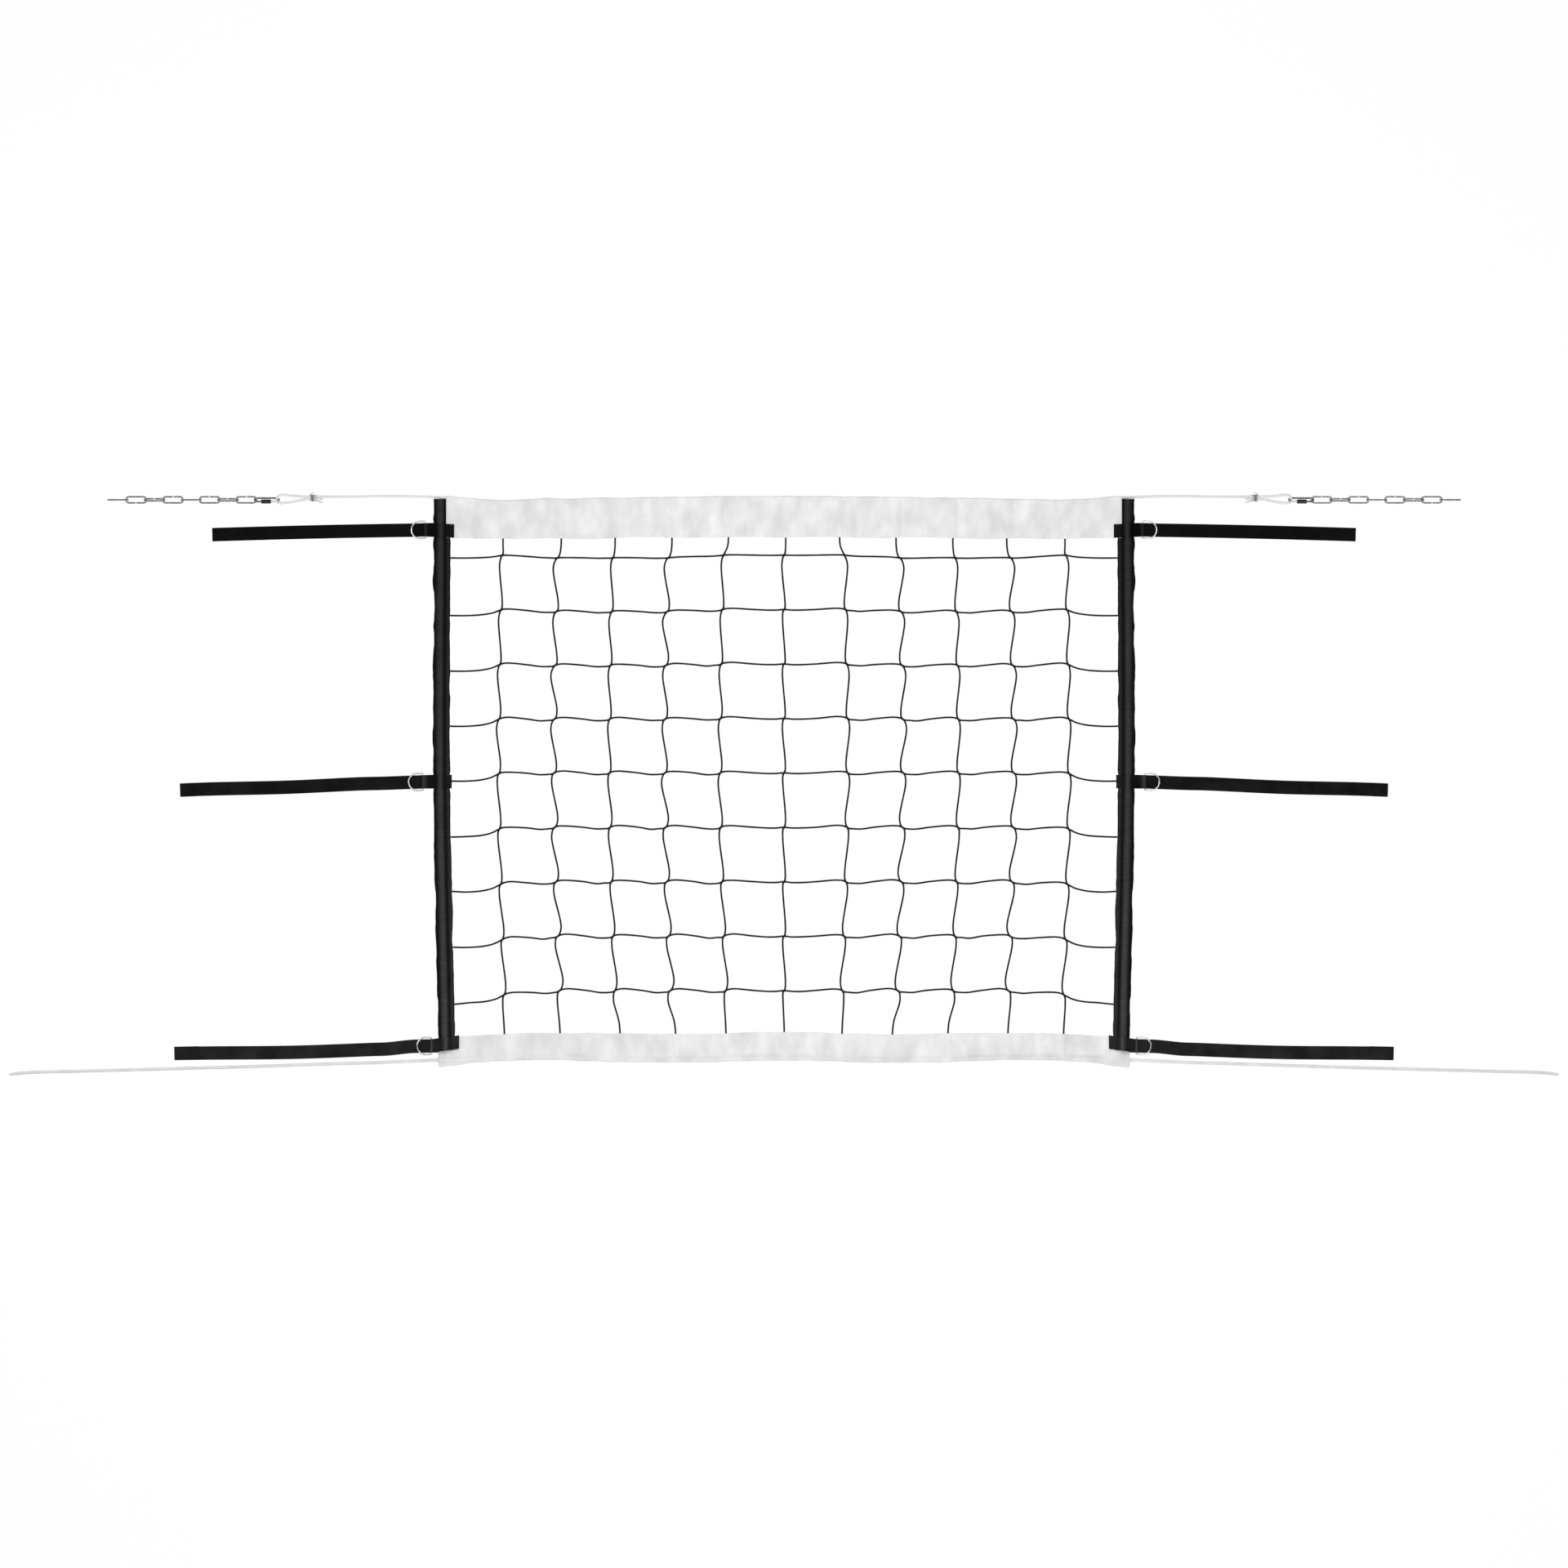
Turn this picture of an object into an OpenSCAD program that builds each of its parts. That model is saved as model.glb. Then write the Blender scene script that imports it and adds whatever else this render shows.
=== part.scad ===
// Volleyball net with its head chains, side straps and hem ropes, laid out flat on the ground.
// X runs along the net, Y from the bottom hem up to the head rope, Z up from the ground.
// The origin is on the ground in the middle of the net. The right side mirrors the left one.

/* [Netting] */
// Length of the netting between the two side sleeves
net_w = 1227; // [1000:1:1500]
// Height of the net over both tapes
net_h = 1040; // [740:10:1240]
// Side of a square mesh
mesh = 100; // [85:1:130]
// Width of the two meshes at the middle, which lie drawn wider
mid_mesh = 111; // [90:1:130]
// Diameter of the netting cord
cord_d = 3.4; // [2.4:0.1:4]
// How far a mesh side bends out of straight as it lies
cord_bend = 5; // [1:0.5:8]
// How far a row drops where it meets a side sleeve
edge_drop = 13; // [0:1:20]
// How much further apart the rows lie at the outer crossings than at the others
edge_fan = 1.5; // [0:0.1:2]
// How far the columns lie bowed out at half the net's height
net_bow = 9; // [0:0.5:12]
// How much lower the top row lies beside the two middle meshes than in them
row_sag = 5; // [0:0.5:8]
// How much nearer the middle the second and third columns reach the bottom rope
foot_shift = 8; // [0:0.5:10]
// Angle by which each side of the net draws in towards the bottom
side_lean = 0.5; // [0:0.1:1]

/* [Tapes and ropes] */
// Height of the top tape
top_tape_h = 76; // [60:1:100]
// Height of the bottom tape
low_tape_h = 51; // [45:1:80]
// Thickness of one ply of the coated tape cloth
tape_t = 0.6; // [0.4:0.1:1]
// Diameter of the head rope
head_rope_d = 4.5; // [4:0.1:5]
// Diameter of the foot rope
foot_rope_d = 5.5; // [4:0.1:8]
// Diameter of the cord that seizes the head rope's loop
seizing_d = 2; // [1.5:0.1:2.2]
// Turns of that cord round the two strands
seizing_turns = 5; // [3:1:6]

/* [Side sleeves] */
// Diameter of the side dowel
dowel_d = 12; // [9:0.5:13]
// Width of the pocket that holds the dowel, laid flat
pocket_w = 22; // [19:0.5:26]
// Width of the stitched flange that takes the netting
flange_w = 8.2; // [7:0.1:14]
// Thickness of one ply of the sleeve cloth
sleeve_t = 0.6; // [0.4:0.1:1]
// Height at which the sleeves end above the bottom edge of the net
sleeve_end = 25; // [22:1:30]

/* [Tabs and straps] */
// Width of the webbing
web_w = 25; // [20:1:28]
// Thickness of the webbing
web_t = 1.2; // [0.8:0.1:1.4]
// Length of the upper strap past its ring
upper_strap_l = 362; // [150:1:600]
// Length of the middle strap past its ring
middle_strap_l = 415; // [150:1:600]
// Length of the lower strap past its ring
lower_strap_l = 441; // [150:1:600]
// Length of the hem folded back at a strap's end
strap_hem = 26; // [10:1:60]

/* [Rings] */
// Diameter of the ring wire
ring_wire = 3; // [2.5:0.1:3.5]
// Inside width of a ring, along its bar
ring_in = 28.5; // [28.5:0.5:40]
// Length of the straight legs between the bar and the bow
ring_leg = 11; // [5:0.5:16]

/* [Chains] */
// Number of links in each chain
links = 8; // [3:1:8]
// Diameter of the link wire
link_wire = 3; // [2.5:0.1:3]
// Inside length of a link
link_in = 34.2; // [28:0.1:45]
// Inside width of a link
link_gap = 8.25; // [8:0.05:8.5]
// Roll of every fourth link about the chain
link_roll = 20; // [0:1:20]

/* [Quick links] */
// Diameter of the quick link wire
quick_wire = 3.5; // [3:0.1:3.6]
// Inside length of a quick link
quick_in = 41.5; // [40:0.5:50]
// Inside width of a quick link
quick_gap = 9.5; // [9.5:0.1:11]
// Roll of a quick link about the chain
quick_roll = 61; // [55:1:65]
// Length of the nut
nut_l = 18; // [16:0.5:19]
// Width of the nut across its flats
nut_af = 7.5; // [7:0.1:8]
// Opening of a quick link under its nut
quick_mouth = 6; // [5.5:0.1:6.5]

/* [Hidden] */
SIDES = ["left_", "right_"];
TABS = ["upper", "middle", "lower"];

BLACK = [0.07, 0.07, 0.08];
WHITE = [0.93, 0.93, 0.94];
GREY = [0.5, 0.5, 0.5];
STEEL = [0.72, 0.72, 0.74];

// Clearances: between moving pieces, between cloth and what it wraps, and of a nut on its thread
play = 0.3;
slack = 0.15;
thread_play = 0.05;

// Heights above the ground
cord_z = tape_t + slack + cord_d / 2;
head_z = tape_t + slack + head_rope_d / 2;
foot_z = tape_t + slack + foot_rope_d / 2;
pocket_r = dowel_d / 2 + play + sleeve_t;
dowel_z = web_t + 0.2 + pocket_r;
flange_t = 2.5 * sleeve_t;
flange_z = cord_z - flange_t / 2;

// Rows are counted down from the head rope, columns out from the middle, which is column 0
top_y = net_h / 2;
hem_y = top_y - tape_t - slack - head_rope_d - cord_d - play;
// What the tapes' hems and a side seam take of the netting
hem_take = 40;
seam_take = 6;
rows = round((net_h - hem_take) / mesh);
row_pitch = (net_h - hem_take) / rows;
side_cols = round((net_w / 2 - mid_mesh) / mesh);
col_pitch = (net_w / 2 - mid_mesh + seam_take) / side_cols;
cols = 2 * side_cols + 1;
// Where a mesh side bends, how far out a crossing reaches, and how much of the sides' lean the
// columns follow
bend_at = 0.22;
port = 1.6 * cord_d;
draw_in = 0.65;

function lean_x(y) = (top_y - y) * tan(side_lean);
function seam_x(y) = net_w / 2 - lean_x(y);
function row_y(j) = hem_y - j * row_pitch;
function bow(j) = net_bow * pow(sin(180 * (j - 0.6) / (rows - 0.9)), 1.3);
function col_x(i, j) =
    i == 0 ? 0 : mid_mesh + (abs(i) - 1) * col_pitch - draw_in * lean_x(row_y(j)) + bow(j);
function fan(i, j) = abs(i) == side_cols ? edge_fan * (0.4 * rows - j) : 0;
function sag(i, j) = abs(i) > 1 ? row_sag * max(0, 1 - (j - 1) / (0.4 * rows)) : 0;
function crossing(i, j) = [sign(i) * col_x(i, j), row_y(j) + fan(i, j) - sag(i, j), cord_z];

// Rows bend more towards the bottom, and every second column more than its neighbours. A column
// bends most below a crossing in the upper rows, and above it in the lower ones.
// Both cords of a crossing lean the same way, and the right half leans the other way.
function lay(i) = i > 0 ? 1 : -1;
function row_bend(j) = cord_bend * (1.05 - 0.85 / j);
function col_bend(i) = cord_bend * (i == 0 ? 0.6 : i % 2 == 0 ? 1.3 : 0.8);
function head_bend(i) = col_bend(i) * (abs(i) == 1 ? 2 : abs(i) == side_cols ? 0.45 : 1);
function foot_in(i) = abs(i) == 2 || abs(i) == 3 ? foot_shift : 0;
function below(j) = 1.15 - 0.6 * j / rows;
function above(j) = 0.35 + 0.7 * j / rows;
function lean(bend) = 1.3 * atan(bend / (bend_at * mesh));
function row_heading(i, j) = -sign(i) * lean(row_bend(j));
function col_heading(i) = 90 + lay(i) * lean(col_bend(i));

// Five points round a cord that heads at angle a in the plane of the net: top, right side, left side
function cord_ring(p, a) = [
    for (t = [90:72:378]) p + cord_d / 2 * [-sin(a) * cos(t), cos(a) * cos(t), sin(t)]
];
function port_ring(p, a, side) = cord_ring(p + side * port * [cos(a), sin(a), 0], a);
// A bend of a cord on its way from a to b, off the straight line by d
function bend_ring(a, b, t, d) = cord_ring(a + (b - a) * t + d, atan2(b.y - a.y, b.x - a.x));

// The rings of a crossing (west, east, south, north), and the two between neighbouring crossings
function crossing_rings(i, j) =
    let (p = crossing(i, j), a = row_heading(i, j), b = col_heading(i))
        [port_ring(p, a, -1), port_ring(p, a, 1), port_ring(p, b, -1), port_ring(p, b, 1)];
function row_rings(i, j) =
    let (a = crossing(i, j), b = crossing(i + 1, j), d = [0, row_bend(j), 0])
        [
            bend_ring(a, b, bend_at, d * (i < 0 ? 0.9 : i == 0 ? 0.35 : -0.8)),
            bend_ring(a, b, 1 - bend_at, d * (i >= 0 ? 0.9 : i == -1 ? 0.35 : -0.8))
        ];
function column_rings(i, j) =
    let (a = crossing(i, j + 1), b = crossing(i, j), d = [-lay(i) * col_bend(i), 0, 0])
        [bend_ring(a, b, bend_at, d * above(j + 1)), bend_ring(a, b, 1 - bend_at, -d * below(j))];

// The rings of the cords that end at a side sleeve, in the top tape and in the bottom tape
function edge_rings(side, j) =
    let (
        p = crossing(side * side_cols, j),
        end = [side * (seam_x(p.y) - play), p.y - edge_drop * (1.2 - 0.85 / j), cord_z]
    ) [cord_ring(end, 0), cord_ring([end.x + 0.5 * (p.x - end.x), end.y - 0.3, cord_z], 0)];
function head_rings(i) =
    let (x = crossing(i, 1).x, d = -lay(i) * head_bend(i))
        [
            cord_ring([x + d, row_y(1) + bend_at * mesh, cord_z], 90),
            cord_ring([x + 0.7 * d, top_y - head_z - head_rope_d / 2 - play, cord_z], 90)
        ];
function foot_rings(i) =
    let (x = crossing(i, rows - 1).x, d = lay(i) * col_bend(i), inward = lay(i) * foot_in(i))
        [
            cord_ring([x - inward - 0.5 * d, -top_y + foot_z + foot_rope_d / 2 + play, cord_z], 90),
            cord_ring([x - 0.3 * inward + 0.6 * d, row_y(rows - 1) - bend_at * mesh, cord_z], 90)
        ];

// A solid through rings of equally many points
function walls(a, b, n) = [
    for (k = [0:n - 1])
        let (c = (k + 1) % n)
            each [[a * n + k, b * n + k, b * n + c], [a * n + k, b * n + c, a * n + c]]
];
function start_cap(a, n) = [for (k = [2:n - 1]) [a * n, a * n + k - 1, a * n + k]];
function end_cap(a, n) = [for (k = [2:n - 1]) [a * n, a * n + k, a * n + k - 1]];

module skin(rings) {
    n = len(rings[0]);
    last = len(rings) - 1;
    polyhedron(
        [for (ring = rings) each ring],
        concat(start_cap(0, n), [for (i = [0:last - 1]) each walls(i, i + 1, n)], end_cap(last, n))
    );
}

// The places of those rings in the netting's list
row_start = 4 * cols * (rows - 1);
column_start = row_start + 2 * (cols - 1) * (rows - 1);
edge_start = column_start + 2 * cols * (rows - 2);
head_start = edge_start + 4 * (rows - 1);
foot_start = head_start + 2 * cols;
function crossing_at(i, j) = 4 * ((j - 1) * cols + i + side_cols);
function row_at(i, j) = row_start + 2 * ((j - 1) * (cols - 1) + i + side_cols);
function column_at(i, j) = column_start + 2 * ((j - 1) * cols + i + side_cols);
function edge_at(side, j) = edge_start + 4 * (j - 1) + (side > 0 ? 2 : 0);

function chain_of(rings) = [for (i = [1:len(rings) - 1]) each walls(rings[i - 1], rings[i], 5)];
function four(a, b, c, d) = [[a, b, c], [a, c, d]];
// Skin of a crossing between its west, east, south and north rings: the two cords pass through
// each other there, which stands for their common knot
function crossing_skin(at) =
    let (w = 5 * at, e = w + 5, s = e + 5, n = s + 5)
        concat(
            four(n, e, s, w),
            four(e, n, n + 1, e + 4), four(e + 4, n + 1, n + 2, e + 3),
            four(n, w, w + 4, n + 4), four(n + 4, w + 4, w + 3, n + 3),
            four(w, s, s + 4, w + 1), four(w + 1, s + 4, s + 3, w + 2),
            four(s, e, e + 1, s + 1), four(s + 1, e + 1, e + 2, s + 2),
            four(e + 3, n + 2, n + 3, w + 3), four(e + 3, w + 3, w + 2, e + 2),
            four(w + 2, s + 3, s + 2, e + 2)
        );

module netting() {
    all_i = [-side_cols:side_cols];
    gaps_i = [-side_cols:side_cols - 1];
    rings = concat(
        [for (j = [1:rows - 1]) for (i = all_i) each crossing_rings(i, j)],
        [for (j = [1:rows - 1]) for (i = gaps_i) each row_rings(i, j)],
        [for (j = [1:rows - 2]) for (i = all_i) each column_rings(i, j)],
        [for (j = [1:rows - 1]) for (side = [-1, 1]) each edge_rings(side, j)],
        [for (i = all_i) each head_rings(i)],
        [for (i = all_i) each foot_rings(i)]
    );
    faces = concat(
        [for (j = [1:rows - 1]) for (i = all_i) each crossing_skin(crossing_at(i, j))],
        [
            for (j = [1:rows - 1]) for (i = gaps_i)
                let (m = row_at(i, j))
                    each chain_of([crossing_at(i, j) + 1, m, m + 1, crossing_at(i + 1, j)])
        ],
        [
            for (j = [1:rows - 2]) for (i = all_i)
                let (m = column_at(i, j))
                    each chain_of([crossing_at(i, j + 1) + 3, m, m + 1, crossing_at(i, j) + 2])
        ],
        [
            for (j = [1:rows - 1])
                let (left = edge_at(-1, j), right = edge_at(1, j))
                    each concat(
                        start_cap(left, 5),
                        chain_of([left, left + 1, crossing_at(-side_cols, j)]),
                        chain_of([crossing_at(side_cols, j) + 1, right + 1, right]),
                        end_cap(right, 5)
                    )
        ],
        [
            for (i = all_i)
                let (head = head_start + 2 * (i + side_cols), foot = foot_start + 2 * (i + side_cols))
                    each concat(
                        chain_of([crossing_at(i, 1) + 3, head, head + 1]),
                        end_cap(head + 1, 5),
                        start_cap(foot, 5),
                        chain_of([foot, foot + 1, crossing_at(i, rows - 1) + 2])
                    )
        ]
    );
    color(BLACK) polyhedron([for (ring = rings) each ring], faces);
}

// Cloth folded round a rope, open towards the netting. Points are (distance from the fold, height).
function tape_outline(h, rope_d) =
    let (
        outer = rope_d / 2 + slack + tape_t,
        inner = outer - tape_t,
        lip = 2 * tape_t + 2 * slack + cord_d
    ) concat(
        [[h, 0], [outer, 0]],
        [for (t = [255:-15:105]) [outer, outer] + outer * [cos(t), sin(t)]],
        [[outer, 2 * outer], [h, lip], [h, lip - tape_t], [outer, outer + inner]],
        [for (t = [105:15:255]) [outer, outer] + inner * [cos(t), sin(t)]],
        [[outer, tape_t], [h, tape_t]]
    );

module folded_tape(h, rope_d, half, y, dir) {
    translate([0, y, 0]) rotate([90, 0, 90])
        linear_extrude(2 * half, center = true)
            polygon([for (p = tape_outline(h, rope_d)) [dir * p.x, p.y]]);
}

top_tape_half = net_w / 2 + flange_w - play - lean_x(top_y - top_tape_h);
low_tape_half = net_w / 2 + flange_w + pocket_w - lean_x(-top_y + sleeve_end);

module top_tape() {
    color(WHITE) folded_tape(top_tape_h, head_rope_d, top_tape_half, top_y, -1);
}

// The upper corners are cut away where the sleeves and the lower tabs are sewn on
module bottom_tape() {
    color(WHITE) difference() {
        folded_tape(low_tape_h, foot_rope_d, low_tape_half, -top_y, 1);
        for (s = [0, 1]) mirror([s, 0, 0]) at_tab(2) slanted(2)
            translate([-pocket_w, -web_w / 2 - 0.4, -1])
                cube([pocket_w + tab_foot[2] + 0.5, low_tape_h, 20]);
    }
}

module top_rope() {
    color(WHITE) translate([0, top_y - head_z, head_z]) rotate([0, 90, 0])
        cylinder(h = 2 * top_tape_half, d = head_rope_d, center = true, $fn = 32);
}

module bottom_rope() {
    color(WHITE) translate([0, foot_z - top_y, foot_z]) rotate([0, 90, 0])
        cylinder(h = 2 * low_tape_half, d = foot_rope_d, center = true, $fn = 32);
}

// A side's own frame starts at the dowel's axis, level with the top edge of the net
module at_side() {
    translate([-net_w / 2 - flange_w - pocket_w / 2, top_y, 0]) rotate(side_lean) children();
}

// Where the cloth leaves the round of the pocket below and above, as shares of its radius
cloth_under = 0.93;
cloth_over = 0.84;
sleeve_top = head_z + head_rope_d / 2 + play;
sleeve_l = net_h - sleeve_end - sleeve_top;
dowel_top = 3;
dowel_foot = 5;

module side_sleeve() {
    tip = pocket_w / 2;
    color(BLACK) at_side() translate([0, -sleeve_top, 0]) difference() {
        union() {
            translate([0, 0, dowel_z]) rotate([90, 0, 0]) cylinder(h = sleeve_l, r = pocket_r, $fn = 48);
            rotate([90, 0, 0]) linear_extrude(sleeve_l) polygon([
                [0, dowel_z - cloth_under * pocket_r], [-tip, flange_z + flange_t],
                [-tip, flange_z + 2 * flange_t], [-pocket_r / 2, dowel_z + cloth_over * pocket_r]
            ]);
            rotate([90, 0, 0]) linear_extrude(sleeve_l) polygon([
                [0, dowel_z - cloth_under * pocket_r], [tip + flange_w, flange_z],
                [tip + flange_w, flange_z + flange_t], [tip, flange_z + flange_t],
                [pocket_r / 2, dowel_z + cloth_over * pocket_r]
            ]);
        }
        translate([0, 1, dowel_z]) rotate([90, 0, 0])
            cylinder(h = 1 + sleeve_l - dowel_foot, d = dowel_d + 2 * play, $fn = 48);
    }
}

module dowel() {
    color([0.75, 0.6, 0.4]) at_side() translate([0, -sleeve_top - dowel_top, dowel_z])
        rotate([90, 0, 0]) cylinder(h = sleeve_l - dowel_top - dowel_foot - play, d = dowel_d, $fn = 48);
}

// Upper, middle and lower tab: drop from the top edge, reach of its loop and of its foot from
// the dowel's axis, height of the foot, slant of its webbing, and turn of its strap
tab_drop = [top_tape_h - web_w / 2, net_h / 2 + 5, net_h - sleeve_end - 8];
tab_reach = [28.5, 37.6, 26.3];
tab_foot = [26.3, 18, 27.3];
flange_top = flange_z + flange_t;
tab_foot_z = [3 * tape_t + 2 * slack + cord_d + 0.1, flange_top + 0.2, flange_top + 0.2];
tab_slant = [-3, 0, 7.5];
strap_turn = [0.8, 1.5, 0.8];
strap_l = [upper_strap_l, middle_strap_l, lower_strap_l];
strap_hems = [0, strap_hem, strap_hem + 18];

ring_r = (ring_in + ring_wire) / 2;
ring_corner = ring_wire;
loop_r = ring_wire / 2 + play + web_t / 2;
bar_z = 2 * web_t + play + ring_wire / 2;
ring_drop = asin((web_t - 0.05) / (ring_leg + ring_r));
function bar_x(k) = loop_r + web_t / 2 - tab_reach[k];
function bar_y(k) = bar_x(k) * tan(tab_slant[k]);
function strap_x(k) = bar_x(k) - ring_leg - ring_r - ring_wire / 2 - 2.5;
function strap_y(k) = bar_y(k) + (strap_x(k) - bar_x(k)) * tan(strap_turn[k]);

module at_tab(k) {
    at_side() translate([0, -tab_drop[k], 0]) children();
}

// Leans lengths along X by a tab's slant, and leaves what lies along the dowel as it is
module slanted(k) {
    multmatrix([[1, 0, 0, 0], [tan(tab_slant[k]), 1, 0, 0], [0, 0, 1, 0], [0, 0, 0, 1]]) children();
}

// An outline of a strip of thickness t along a path
function strip_outline(path, t) =
    let (
        n = len(path) - 1,
        off = [
            for (i = [0:n])
                let (d = path[min(i + 1, n)] - path[max(i - 1, 0)])
                    t / 2 * [-d.y, d.x] / norm(d)
        ]
    ) concat([for (i = [0:n]) path[i] + off[i]], [for (i = [n:-1:0]) path[i] - off[i]]);

// The webbing runs from its foot over the dowel and round the ring's bar, and back below
module tab(k) {
    over = pocket_r + 0.2 + web_t / 2;
    foot = tab_foot_z[k] + web_t / 2;
    path = concat(
        [[tab_foot[k], foot], [pocket_w / 2 + 1.5, foot]],
        [for (t = [20:10:150]) [0, dowel_z] + over * [cos(t), sin(t)]],
        [for (t = [105:15:255]) [bar_x(k), bar_z] + loop_r * [cos(t), sin(t)]],
        [[bar_x(k), bar_z - loop_r], [-pocket_w / 2 - 1, bar_z - loop_r]]
    );
    skew = web_w / 2 * tan(strap_turn[k]);
    half = web_w / 2;
    color(BLACK) at_tab(k) {
        slanted(k) rotate([90, 0, 0])
            linear_extrude(web_w, center = true) polygon(strip_outline(path, web_t));
        linear_extrude(web_t + 0.05) polygon([
            [strap_x(k) + skew, strap_y(k) - half], [strap_x(k) - skew, strap_y(k) + half],
            [bar_x(k), bar_y(k) + half], [pocket_r, pocket_r * tan(tab_slant[k]) + half],
            [pocket_r, pocket_r * tan(tab_slant[k]) - half], [bar_x(k), bar_y(k) - half]
        ]);
    }
}

// A ring lies tilted, with its bow on the strap's root
module ring(k) {
    color(STEEL) at_tab(k) translate([bar_x(k), bar_y(k), bar_z]) rotate([0, -ring_drop, 0]) {
        rotate([90, 0, 0]) cylinder(h = 2 * (ring_r - ring_corner), d = ring_wire, center = true, $fn = 32);
        for (s = [0, 1]) mirror([0, s, 0]) {
            translate([-ring_corner, ring_r - ring_corner, 0])
                rotate_extrude(angle = 90, $fn = 32) translate([ring_corner, 0]) circle(d = ring_wire, $fn = 32);
            translate([-ring_corner, ring_r, 0]) rotate([0, -90, 0])
                cylinder(h = ring_leg - ring_corner, d = ring_wire, $fn = 32);
        }
        translate([-ring_leg, 0, 0]) rotate([0, 0, 90])
            rotate_extrude(angle = 180, $fn = 64) translate([ring_r, 0]) circle(d = ring_wire, $fn = 32);
    }
}

module strap(k) {
    l = strap_l[k];
    color(BLACK) at_tab(k) translate([strap_x(k), strap_y(k), 0]) rotate(strap_turn[k]) rotate([90, 0, 0])
        linear_extrude(web_w, center = true) polygon([
            [-play, 0], [-l, 0], [-l, strap_hems[k] > 0 ? 2 * web_t : web_t],
            [-l + strap_hems[k], strap_hems[k] > 0 ? 2 * web_t : web_t],
            [-l + strap_hems[k], web_t], [-play, web_t]
        ]);
}

// The chain hangs in the bight of the head rope's loop, clear of the ground
quick_r = (quick_gap + quick_wire) / 2;
quick_leg = quick_in - quick_gap;
link_r = (link_gap + link_wire) / 2;
link_leg = link_in - link_gap;
link_pitch = link_in - 0.5;
chain_z = quick_r * sin(quick_roll) + quick_wire / 2;

// Routes of the free ropes, as offsets from where they leave the tapes
head_exit = [-top_tape_half, top_y - head_z, head_z];
foot_exit = [-low_tape_half, foot_z - top_y, foot_z];
strand_y = head_rope_d / 2 + 0.05;
seizing_x = -237.5;
seizing_y = -0.9;
seizing_r = (head_rope_d + seizing_d) / 2 + 0.05;
seizing_z = seizing_r + seizing_d / 2 + 0.1 - head_z;
loop_end = [-311, -4.25, chain_z - head_z];
head_route = [
    [0, 0, 0], [-8, 0, 0], [-50, 1.6, -0.5], [-110, 2.4, -0.5], [-160, 1.5, -0.5], [-205, 1.3, 0.2],
    [-230, seizing_y + strand_y, seizing_z], [-256, seizing_y + strand_y, seizing_z],
    [-265, 1.7, 2.6], [-278, 2.6, 4.6], [-291, 4, 6.8], [-301, 4.9, 8],
    [-308, 2.6, 7.7],
    loop_end,
    [-308, -9.4, 1.4], [-301, -10.3, 0.4], [-291, -9.4, 0], [-278, -7.4, 0.4], [-265, -4.8, 1],
    [-256, seizing_y - strand_y, seizing_z], [-230, seizing_y - strand_y, seizing_z],
    [-226, seizing_y - strand_y - 0.3, seizing_z - 0.6]
];
foot_route = [
    [0, 0, 0], [-10, 0, 0], [-40, -1.2, -0.7], [-130, -5, -0.7], [-205, -7, -0.7], [-355, -12, -0.7],
    [-505, -16, -0.7], [-655, -20, -0.7], [-760, -23, -0.7], [-782, -25.5, -0.7], [-788, -26.5, -0.7]
];
// The seizing's turns lie round both strands, and its two ends stand out of them
seizing_step = 1.35 * seizing_d;
seizing_start = 200;
seizing_end = 360 * seizing_turns + 20;
seizing_turn = [
    for (a = [seizing_start:20:seizing_end])
        [
            seizing_x - seizing_step * (a - seizing_start) / 360,
            seizing_y + sign(cos(a)) * strand_y + seizing_r * cos(a),
            seizing_z + seizing_r * sin(a)
        ]
];
seizing_first = seizing_turn[0];
seizing_last = seizing_turn[len(seizing_turn) - 1];
seizing_route = concat(
    [for (d = [[11.5, -3.2, 0], [7.5, -2.4, 0.4], [3.4, -0.9, 0.4]]) seizing_first + d],
    seizing_turn,
    [for (d = [[0.9, 1.6, 0.5], [3.2, 3.2, 0.4], [6.4, 4.9, -0.2]]) seizing_last + d]
);

function unit(v) = v / norm(v);
function tangent(p, i) = unit(p[min(i + 1, len(p) - 1)] - p[max(i - 1, 0)]);
function square_to(u, t) = unit(u - (u * t) * t);
function side_dirs(p) = [
    for (i = 0, u = square_to([0, 0, 1], tangent(p, 0)); i < len(p);
         i = i + 1, u = square_to(u, tangent(p, min(i, len(p) - 1)))) u
];
// Points halfway and at each given point of a smooth curve through a route
function smoothed(r) = [
    for (i = [0:len(r) - 1]) each i == len(r) - 1 ? [r[i]] :
        let (a = r[max(i - 1, 0)], b = r[i], c = r[i + 1], d = r[min(i + 2, len(r) - 1)])
            [b, (b + c) / 2 + (b + c - a - d) / 16]
];

// A round rope through points, with its last ring drawn in by the factor tip
module rope(p, d, sides, tip) {
    u = side_dirs(p);
    last = len(p) - 1;
    skin([
        for (i = [0:last])
            let (t = tangent(p, i), v = cross(t, u[i]), r = d / 2 * (i == last ? tip : 1))
                [for (k = [0:sides - 1]) p[i] + r * (cos(360 * k / sides) * u[i] + sin(360 * k / sides) * v)]
    ]);
}

module top_rope_tail() {
    color(WHITE) translate(head_exit) rope(smoothed(head_route), head_rope_d, 8, 0.9);
}

module top_rope_seizing() {
    color(GREY) translate(head_exit) rope(seizing_route, seizing_d, 6, 0.8);
}

module bottom_rope_tail() {
    color(WHITE) translate(foot_exit) rope(smoothed(foot_route), foot_rope_d, 8, 0.5);
}

// Along the chain: the loop's bight, the quick link's middle and each link's middle
loop_at = head_exit + loop_end;
quick_x = loop_at.x + (head_rope_d + quick_wire) / 2 + play - quick_r - quick_leg / 2;
first_x = quick_x - quick_r - quick_leg / 2 + (quick_wire + link_wire) / 2 + 0.25 - link_r - link_leg / 2;

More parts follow.
